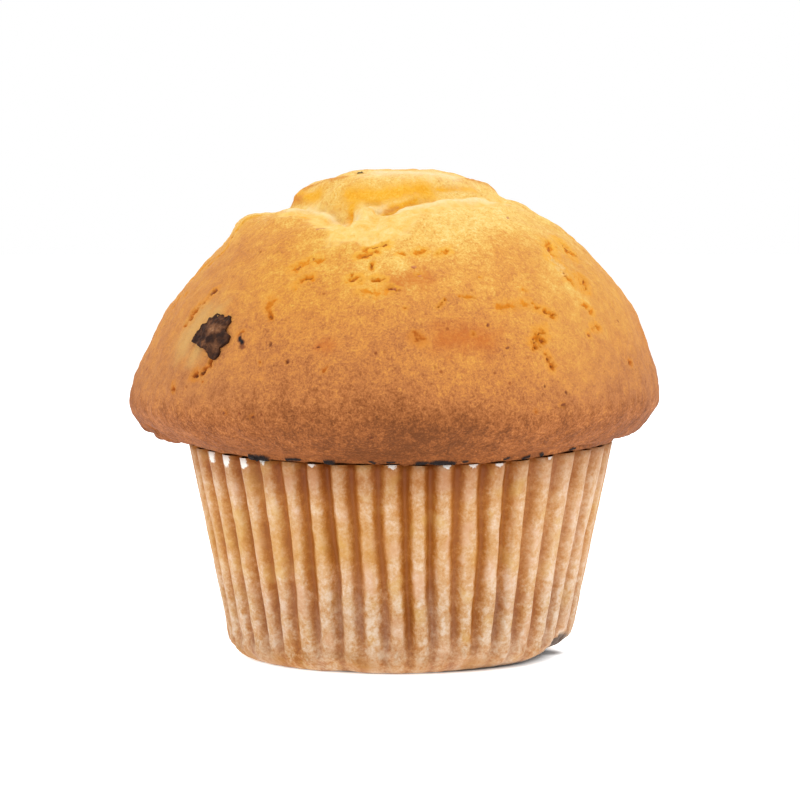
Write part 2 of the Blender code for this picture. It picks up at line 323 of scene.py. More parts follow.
# The floor glows so that it shows white, but its glow fades out near the foot and under the cake as a
# painted contact shadow: tenths of a metre out, then grey
glowAndShadowStops = (
    (0.0, 0.0), (0.210, 0.02), (0.229, 0.60), (0.241, 0.95), (0.29, 0.90), (0.36, 0.60), (0.60, 0.56),
)
glow = floorPaint.ramp(floorPaint.away(axis) * 10.0, *((at, (grey,) * 3) for at, grey in glowAndShadowStops))
# Painted shadow: the floor's glow goes nearly black round the lifted foot
paintedFootShadow = floorPaint.between(floorPaint.away(shot["shadowUnderFoot"]), 0.0038, 0.0012)
floorPaint.shader.inputs["Emission Strength"].default_value = shot["floorGlow"]
floorPaint.put(
    floorPaint.shader.inputs["Emission Color"],
    floorPaint.blend(paintedFootShadow, glow, (0.02, 0.02, 0.02)),
)
floorPaint.colour = floorPaint.ramp(floorPaint.cloud(30.0), (0.3, (0.86,) * 3), (0.7, (0.9,) * 3))
wear(floor, floorPaint.finish(roughness=0.8))
print("camera, light and floor are set")


# paper case

# Height of the seam between paper and crust: bearing in degrees, height in mm
seamHeights = (
    (-180, 31.9), (-160, 31.4), (-150, 31.2), (-135, 30.85), (-115, 30.55), (-90, 30.4), (-65, 30.5),
    (-52, 30.9), (-39, 31.45), (-22, 31.7), (0, 31.8), (45, 31.5), (90, 31.2), (135, 31.5), (180, 31.9),
)

case = {
    "footRadius": 0.0250,
    "rimRadius": 0.0313,
    "height": 0.0305,
    "lean": 0.2066,  # how far the wall goes out for each metre up
    "corner": 0.0034,
    "cornerSteps": 8,
    "wallRows": 26,
    "hub": 0.003,  # radius of the disc that the foot starts from
    "footRings": 7,
    "paper": 0.00012,
    "pleats": 48,
    "stepsPerPleat": 14,
    "depth": 0.0013,
    "unevenDepth": 0.16,
    "swing": 0.12,  # how much a fold's depth comes and goes on its way up
    "kink": 0.55,  # how far a fold strays sideways, in degrees
    "backDrift": 0.10,
    "footShare": 0.16,
    "crinkle": 0.00032,
    "fineCrinkle": 0.00024,
    "footCrinkle": 0.00046,
    "mostOut": 0.00016,  # no crinkle stands out further than this
    "rimWave": 0.00015,
    "dent": 0.0004,  # how far the paper is pushed in at footDent
    "flatter": 0.0006,  # how far the foot is pressed in at the front, right of the middle
}
# Bearings of the valleys at the front, in degrees, at three heights from near the rim down
frontValleys = (
    (-164.5, -164.2, -165.4), (-155.4, -155.3, -157.0), (-146.9, -146.9, -147.6),
    (-139.3, -138.8, -139.4), (-131.8, -131.7, -132.1), (-124.5, -123.9, -125.3),
    (-116.7, -116.9, -117.2), (-110.1, -109.5, -109.5), (-103.0, -102.7, -102.2), (-96.1, -95.6, -94.7),
    (-88.8, -88.5, -87.1), (-82.0, -81.4, -80.1), (-74.7, -74.2, -72.8), (-67.5, -66.3, -65.6),
    (-59.7, -58.9, -58.2), (-52.2, -51.5, -50.5), (-43.7, -43.5, -42.6), (-34.7, -34.8, -34.3),
    (-26.1, -26.3, -27.3), (-15.4, -17.6, -15.8),
)
valleyHeights = (0.028, 0.0186, 0.008)
# Bearings of the folds whose tips are dry and white under the rim, and how far each goes down in mm
dryTips = (
    (-150.6, 1.0), (-143.3, 1.6), (-135.8, 1.5), (-128.4, 0.9), (-113.4, 0.5), (-92.2, 1.0),
    (-78.0, 0.7), (-71.0, 0.8), (-63.8, 0.9), (-47.9, 0.4), (40.0, 1.2), (63.0, 0.8), (118.0, 1.4),
    (170.0, 1.0),
)
# The foot is lifted off the floor: bearing in degrees, lift in mm
footLift = (
    (-180, 0.0), (-118, 0.0), (-113, 0.25), (-107, 0.25), (-102, 0.0), (-88, 0.0), (-70, 0.25),
    (-54, 0.4), (-41, 0.5), (-34, 0.8), (-29, 1.4), (-24, 1.6), (-16, 1.5), (-10, 1.3), (-3, 1.1),
    (5, 0.7), (14, 0.2), (22, 0.0), (180, 0.0),
)
# Where the paper is pushed in over the foot: bearing in degrees, top of the hollow in mm
footDent = (
    (-180, 0.0), (-30, 0.0), (-29, 2.2), (-26, 3.4), (-22, 3.9), (-18, 3.9), (-14, 3.6), (-10, 3.1),
    (-5, 2.6), (0, 2.2), (6, 1.8), (10, 0.0), (180, 0.0),
)


def wallAt(height):  # the radius of the wall before it is folded
    return case["footRadius"] + case["lean"] * height


def caseProfile():  # (radius, height) from the edge of the flat foot up to the rim
    slope = math.atan2(case["rimRadius"] - case["footRadius"], case["height"])
    corner = case["corner"]
    tangent = case["footRadius"] + corner * (1 - math.sin(slope)) * math.tan(slope)
    centre = tangent - corner * math.cos(slope)
    rows = []
    for step in range(case["cornerSteps"] + 1):
        angle = -math.pi / 2 + step / case["cornerSteps"] * (math.pi / 2 - slope)
        rows.append((centre + corner * math.cos(angle), corner * (1 + math.sin(angle))))
    low = rows[-1][1]
    for step in range(1, case["wallRows"] + 1):
        height = low + (case["height"] - low) * step / case["wallRows"]
        rows.append((case["footRadius"] + height * math.tan(slope), height))
    return rows


deselectAll()
bpy.ops.mesh.primitive_circle_add(
    vertices=case["pleats"] * case["stepsPerPleat"],
    radius=case["hub"],
    fill_type="TRIFAN",
    location=axis,
)
paperCase = bpy.context.object
paperCase.name = paperCase.data.name = "paper_case_pleated"
bpy.ops.object.transform_apply(location=True, rotation=True, scale=True)
bpy.ops.object.mode_set(mode="EDIT")
bpy.ops.mesh.select_mode(type="EDGE")
bpy.ops.mesh.select_all(action="DESELECT")
bpy.ops.mesh.select_non_manifold(
    extend=False,
    use_wire=False,
    use_boundary=True,
    use_multi_face=False,
    use_non_contiguous=False,
    use_verts=False,
)
profile = caseProfile()
rings = np.linspace(2 * case["hub"], profile[0][0], case["footRings"])[:-1]
radius, height = case["hub"], 0.0
for nextRadius, nextHeight in [(ring, 0.0) for ring in rings] + profile:
    ratio = nextRadius / radius
    bpy.ops.mesh.extrude_edges_move()
    bpy.ops.transform.resize(value=(ratio, ratio, 1.0), center_override=tuple(axis))
    bpy.ops.transform.translate(value=(0.0, 0.0, nextHeight - height))
    radius, height = nextRadius, nextHeight
bpy.ops.mesh.select_all(action="SELECT")
bpy.ops.mesh.flip_normals()  # now they point out of the case
bpy.ops.object.mode_set(mode="OBJECT")
finishWith(paperCase, "SOLIDIFY", thickness=case["paper"], offset=-1.0, use_even_offset=True)


def valleysAt(height):  # bearings of all the valleys at one height, in degrees
    front = [np.interp(height, valleyHeights[::-1], valley[::-1]) for valley in frontValleys]
    left = case["pleats"] - len(front)
    pitch = (front[0] + 360 - front[-1]) / (left + 1)
    back = []
    for step in range(1, left + 1):
        back.append(front[-1] + pitch * (step + case["backDrift"] * math.sin(2.4 * step)))
    return np.array(front + back)


def depthOf(pleat):  # some pleats are deeper than others
    return 1.0 + case["unevenDepth"] * np.sin(1.7 * (pleat % case["pleats"]) + 1.0)


def foldPaper():
    points = pointsOf(paperCase)
    radius, bearing = aroundAxis(points)
    height = points[:, 2]  # changes with the points
    # Where the noises are read: on a plain tube, and on one half as tall, which draws them out
    circle = np.column_stack([0.03 * np.cos(bearing), 0.03 * np.sin(bearing), height])
    tall = circle * np.array((1.0, 1.0, 0.5))
    # A fold strays a little sideways on its way up
    stray = case["kink"] * (grain(tall, 0.0040, 1) + 0.5 * grain(circle, 0.0024, 2))
    degrees = np.degrees(bearing)
    found = degrees + stray * smoothStep(0.031, 0.026, height)
    found = (found + 165.0) % 360 - 165.0  # from the first valley round to it again
    count = np.zeros(len(points))
    for level in np.unique(np.round(height, 6)):
        row = np.abs(height - level) < 0.000001
        valleys = valleysAt(level)
        valleys = np.concatenate([[valleys[-1] - 360], valleys, valleys[:2] + 360])
        count[row] = np.interp(found[row], valleys, np.arange(len(valleys)))
    pleat = np.floor(count)
    phase = count - pleat
    deepHere, deepNext = depthOf(pleat), depthOf(pleat + 1)
    deep = deepHere + (deepNext - deepHere) * smoothStep(0.3, 0.7, phase)
    side = np.abs(2 * phase - 1)  # 0 on the fold, 1 in the valley
    inset = 0.22 * side**2 + 0.78 * smoothStep(0.28, 0.92, side)
    runOut = case["footShare"] + (1 - case["footShare"]) * smoothStep(0.0008, 0.0068, height)
    runOut *= smoothStep(0.62 * case["footRadius"], 0.98 * case["footRadius"], radius)
    swing = 1.0 + case["swing"] * grain(tall, 0.0050, 3)
    fold = inset * deep * runOut * swing * case["depth"]
    # Crinkles, deepest near the foot
    crinkle = case["crinkle"] * grain(circle, 0.0023, 4) + case["fineCrinkle"] * grain(circle, 0.0009, 5)
    crinkle *= 0.16 + smoothStep(0.0065, 0.0025, height)
    crinkle *= smoothStep(0.0, 0.0008, height) * smoothStep(0.030, 0.027, height)
    slanted = np.column_stack([circle[:, 0], circle[:, 1], 1.6 * height + 0.02 * bearing])
    nearFoot = smoothStep(0.0060, 0.0035, height)
    nearFoot = case["footCrinkle"] * grain(slanted, 0.0017, 18) * nearFoot
    crinkle += nearFoot * smoothStep(0.0004, 0.0016, height)
    newRadius = radius - fold - np.maximum(crinkle, -case["mostOut"])
    lift = levelAt(footLift, bearing) * smoothStep(0.0062, 0.0004, height)
    lift *= smoothStep(0.76 * case["footRadius"], 0.94 * case["footRadius"], radius)
    newRadius -= case["flatter"] * swell(degrees + 62.0, 24.0) * smoothStep(0.0045, 0.0005, height)
    rim = levelAt(seamHeights, bearing) - case["height"]
    rim = rim + case["rimWave"] * grain(circle, 0.0035, 6) - 0.0001
    rise = rim * smoothStep(0.020, case["height"], height)
    newRadius += case["lean"] * rise
    points[:, 0] = axis.x + newRadius * np.cos(bearing)
    points[:, 1] = axis.y + newRadius * np.sin(bearing)
    points[:, 2] += lift + rise
    tops = levelAt(footDent, bearing)
    hollow = smoothStep(tops + 0.00025, tops - 0.00025, height) * (tops > 0.001) * (radius > 0.0205)
    pushed = 1 - case["dent"] * hollow / newRadius
    points[:, 0] = axis.x + (points[:, 0] - axis.x) * pushed
    points[:, 1] = axis.y + (points[:, 1] - axis.y) * pushed
    movePoints(paperCase, points)
    return bearing, height, circle, tall, 1 - inset, lift, hollow


def colourPaper(bearing, height, circle, tall, ridge, lift, hollow):  # what the finish reads
    degrees = np.degrees(bearing)
    behind = bearing > 0
    down = (case["height"] - height) * 1000
    dry = np.zeros(len(height))
    for tip, reach in dryTips:
        across = swell((degrees - tip + 180) % 360 - 180, 0.75 + 0.6 * reach)
        dry = np.maximum(dry, across * smoothStep(1.25 * reach, 0.35 * reach, down))
    level = 0.6 * smoothStep(0.0070, 0.0020, height)
    # Painted shade: the paper is darkened where the foot is lifted and in the pushed-in hollow
    shadedBottom = smoothStep(0.0010 + 0.3 * lift, 0.0005 + 0.3 * lift, height)
    shadedBottom = np.maximum(shadedBottom * smoothStep(0.0002, 0.0007, lift), 0.92 * hollow)
    right = smoothStep(-62.0, -25.0, degrees) * smoothStep(150.0, 60.0, degrees)
    # Painted shade under the lip, deeper and lower towards the front left
    leftward = swell(degrees + 108.0, 45.0)
    rimShade = smoothStep(0.0242 - 0.0004 * leftward, 0.0300 - 0.0012 * leftward, height)
    # Painted light: the valleys at the left and right sides, and round the back, are made lighter
    lightSides = 0.5 * smoothStep(-112.0, -130.0, degrees) + smoothStep(-72.0, -52.0, degrees)
    low = np.clip(1.0 - height / 0.0165, 0.0, 1.0)
    # Fat soaked in less near the foot, and most in a band half way up on the left
    band = swell(height - 0.0185 + 0.0012 * grain(circle, 0.004, 9), 0.0030)
    leftSide = 0.25 + 0.75 * smoothStep(-85.0, -105.0, degrees)
    fatFoot = smoothStep(-0.1, 0.35, grain(circle, 0.006, 10))
    keepValues(paperCase, {
        "ridge": ridge + (0.62 - ridge) * level,
        "dryTip": dry * smoothStep(0.35, 0.75, ridge),
        "under": np.maximum(shadedBottom, smoothStep(0.0001, 0.00002, height)),
        "dryRight": right * (0.7 + 0.8 * grain(tall, 0.004, 17)),
        "shade": (0.78 + 0.25 * leftward) * rimShade,
        "footShade": 0.5 * smoothStep(0.0150, 0.0085, height) + 0.5 * smoothStep(0.0055, 0.0010, height),
        "lightSides": np.where(behind, 0.5, lightSides) * smoothStep(0.0090, 0.0150, height),
        # painted shadow under the lip at the front
        "fatRim": smoothStep(0.0195, 0.0290, height) * swell((degrees + 85.0) / 38.0, 1.0),
        "low": smoothStep(0.0190, 0.0070, height),
        "dryFoot": low * (0.55 + 0.9 * grain(tall, 0.0042, 8)),
        "fatBand": band * np.where(behind, 0.5, leftSide),
        "fatFoot": swell(height - 0.0010, 0.0014) * fatFoot,
    })


colourPaper(*foldPaper())
smoothShade(paperCase)
print("paper case is pleated")


# where the front piece of chocolate sits in the crust

chunk = {
    "voxel": 0.00013,
    "bevel": 0.0002,
    "ragged": 0.00016,
    "raggedSize": 0.0006,
    "proud": 0.0003,
    "skin": 0.0009,  # how deep the broken top of the front piece is reshaped
    "outward": (-0.662, -0.575, 0.481),  # straight out of the crust at the front piece
    "faceMiddle": (-25.28, -24.49, 47.84),
    "pocket": (0.0052, 0.0062, 0.0105),  # radii: filled inside, eased off by, fitted to the crust by
    "pocketDepth": 0.010,
}
# Broken edge of the front piece: angle from its right, anticlockwise, and reach in mm
brokenEdge = (
    (-178, 3.55), (-165, 4.13), (-150, 2.7), (-129, 2.29), (-95, 2.2), (-73, 2.35), (-60, 4.1),
    (-50, 4.6), (-41, 4.5), (-31, 3.48), (-14, 4.18), (2, 4.29), (13, 3.3), (24, 3.35), (36, 3.9),
    (50, 4.1), (63, 3.75), (74, 3.98), (86, 3.45), (98, 3.83), (112, 3.1), (124, 3.3), (137, 2.8),
    (150, 3.4), (162, 3.1), (172, 3.7),
)
# Its broken faces: slope to the right, slope upwards, height in mm
brokenFaces = ((0.14, 0.05, 0.42), (-0.17, 0.03, 0.50), (0.03, -0.16, 0.40), (0.06, 0.20, 0.70))


def chunkWays():  # right, up and out of the crust at the front piece
    out = np.array(chunk["outward"])
    across = np.cross((0.0, 0.0, 1.0), out)
    across /= np.linalg.norm(across)
    return across, np.cross(out, across), out


def chunkPlan(points):  # how far they lie along each of those ways
    off = points - np.array(chunk["faceMiddle"]) / 1000
    return [off @ way for way in chunkWays()]


def bowl(right, high):  # the terms of a curved surface
    terms = [np.ones_like(right), right, high, right * right, right * high, high * high]
    return np.column_stack(terms)


# cake crust

crust = {
    "roughVoxel": 0.0005,
    "voxel": 0.00038,
    "lump": 0.00026,
    "pebble": 0.00014,  # depth of the small lumps on the big ones
    "crumbLump": 0.00042,
    "crumbDrop": 0.00035,
    "crumbRim": 0.00022,  # how high the torn edge stands
    "crumbFrom": 0.058,  # no crumb shows below this
    "crownFrom": 0.056,
    "top": 0.07234,  # nothing rises above this
    "lip": 0.0378,  # height of its widest part
    "lipReach": 0.0052,
    "footClearance": 0.0019,
    "seamBulge": 0.00045,
    "seamWaves": (0.00030, 0.00016),
    "edgeWander": 0.0005,  # how far the crumb's edge strays from crumbEdge
    "markWidth": 1.12,
    "backMarks": 60,
    "richSpot": (-12.0, -26.0, 57.0),  # where the crust is deeper yellow, in mm
    "richReach": 10.0,
    "hiddenBelow": 0.0285,
    "hiddenThinned": 0.9,
    "plainShare": 0.58,
}
# Where the crown has torn open on pale crumb, seen from above, in mm
crumbEdge = (
    (-17.0, -12.4), (-15.0, -12.1), (-13.2, -7.3), (-11.7, -9.0), (-9.7, -12.5), (-8.5, -13.3),
    (-7.6, -15.3), (-6.8, -16.4), (-5.6, -16.3), (-5.1, -14.2), (-3.8, -14.3), (-2.3, -14.6),
    (-1.7, -15.2), (-1.3, -16.9), (-0.3, -16.3), (1.1, -15.4), (2.6, -14.8), (5.1, -14.6), (6.7, -14.9),
    (9.0, -13.4), (12.4, -10.5), (14.9, -5.4), (17.0, -4.9), (15.6, -11.1), (13.3, -13.8), (9.6, -15.5),
    (7.0, -18.2), (4.5, -20.0), (3.0, -22.6), (2.1, -24.5), (1.3, -25.6), (0.5, -25.5), (-1.0, -26.3),
    (-2.4, -26.3), (-3.8, -25.6), (-5.2, -25.0), (-7.4, -24.8), (-8.8, -24.3), (-9.7, -23.3),
    (-9.4, -22.4), (-9.6, -21.0), (-11.4, -18.9), (-12.3, -14.4), (-14.2, -14.4), (-15.7, -14.5),
)
# Swells and hollows of the crown, seen from above: place, reach each way, height, in mm
crownSwells = (
    (-10.2, -14.4, 1.3, 2.2, 0.9), (-4.6, -16.8, 1.3, 2.6, 1.7), (2.2, -17.0, 2.4, 2.4, 0.9),
    (-7.6, -15.8, 0.8, 2.2, -0.4), (-10.8, -2.0, 3.0, 7.0, -0.4), (10.4, 0.0, 2.4, 8.0, -0.35),
    (14.4, 0.0, 1.1, 6.0, 0.55), (-17.7, -3.0, 2.6, 7.0, -1.6), (-22.4, -6.0, 1.7, 7.0, 0.45),
    (-14.6, -2.0, 0.9, 3.0, 1.1), (-16.0, -2.0, 0.7, 3.0, 0.4), (-8.6, -2.0, 1.3, 5.0, -0.35),
    (-9.5, -8.3, 2.0, 1.0, -0.5), (-12.6, -3.5, 1.4, 1.6, -0.5),
)
# How far the widest part of the cake is moved up: bearing in degrees, mm
lipLift = (
    (-180, 0.1), (-135, 0.0), (-90, 0.0), (-45, 0.7), (0, 1.4), (60, 0.7), (130, 0.1), (180, 0.1),
)
# How browned the crust is at each height in mm, 0 pale to 1 dark
bakeLevels = (
    (0, 0.90), (29, 0.92), (31, 0.93), (33, 0.93), (36, 0.885), (40, 0.735), (44, 0.65), (48, 0.575),
    (53, 0.50), (58, 0.425), (63, 0.30), (66, 0.24), (72, 0.25),
)
# How much more, or less, some wide places are browned: place and reach in mm, then the change
bakePatches = (
    (-21.0, -13.0, 63.0, 8.0, 0.15), (-27.0, -14.0, 55.0, 9.0, 0.10), (-15.5, -20.0, 61.5, 4.0, 0.10),
    # The first row below darkens the front of the lip: painted shade as well as browning
    (0.0, -39.0, 33.0, 13.0, 0.085), (27.0, -24.0, 45.0, 12.0, -0.085), (13.0, -26.0, 59.0, 4.0, 0.04),
    (12.0, -16.0, 65.0, 8.0, -0.05), (8.5, -25.0, 61.0, 5.0, -0.07), (0.0, -28.0, 58.0, 6.0, -0.07),
    (-39.0, 0.0, 39.0, 10.0, 0.05), (39.0, 0.0, 39.0, 10.0, 0.05), (-33.0, -19.0, 35.5, 8.0, -0.03),
    (33.0, -19.0, 36.0, 8.0, 0.05), (31.0, -20.0, 40.0, 5.0, 0.05), (1.5, -34.0, 49.5, 4.5, 0.07),
    (6.5, -33.5, 48.4, 4.0, 0.07), (11.5, -32.5, 48.5, 3.5, 0.04), (-12.5, -34.0, 45.5, 7.0, 0.06),
    (5.0, -36.5, 42.5, 5.5, -0.08), (9.5, -35.5, 44.0, 5.0, -0.07), (-5.0, -30.5, 52.6, 4.5, -0.07),
    (-21.0, -26.0, 48.5, 3.5, 0.09), (-25.5, -23.5, 44.5, 4.0, 0.08), (19.0, -29.5, 45.3, 5.0, -0.05),
    (26.0, -14.0, 55.5, 6.0, 0.05), (3.0, -27.5, 56.3, 3.4, 0.05), (14.5, -23.5, 60.4, 3.2, 0.06),
    (18.5, -21.0, 60.4, 3.2, 0.06), (4.5, -39.0, 36.5, 6.0, 0.06), (-18.0, -29.0, 58.5, 3.5, 0.05),
)
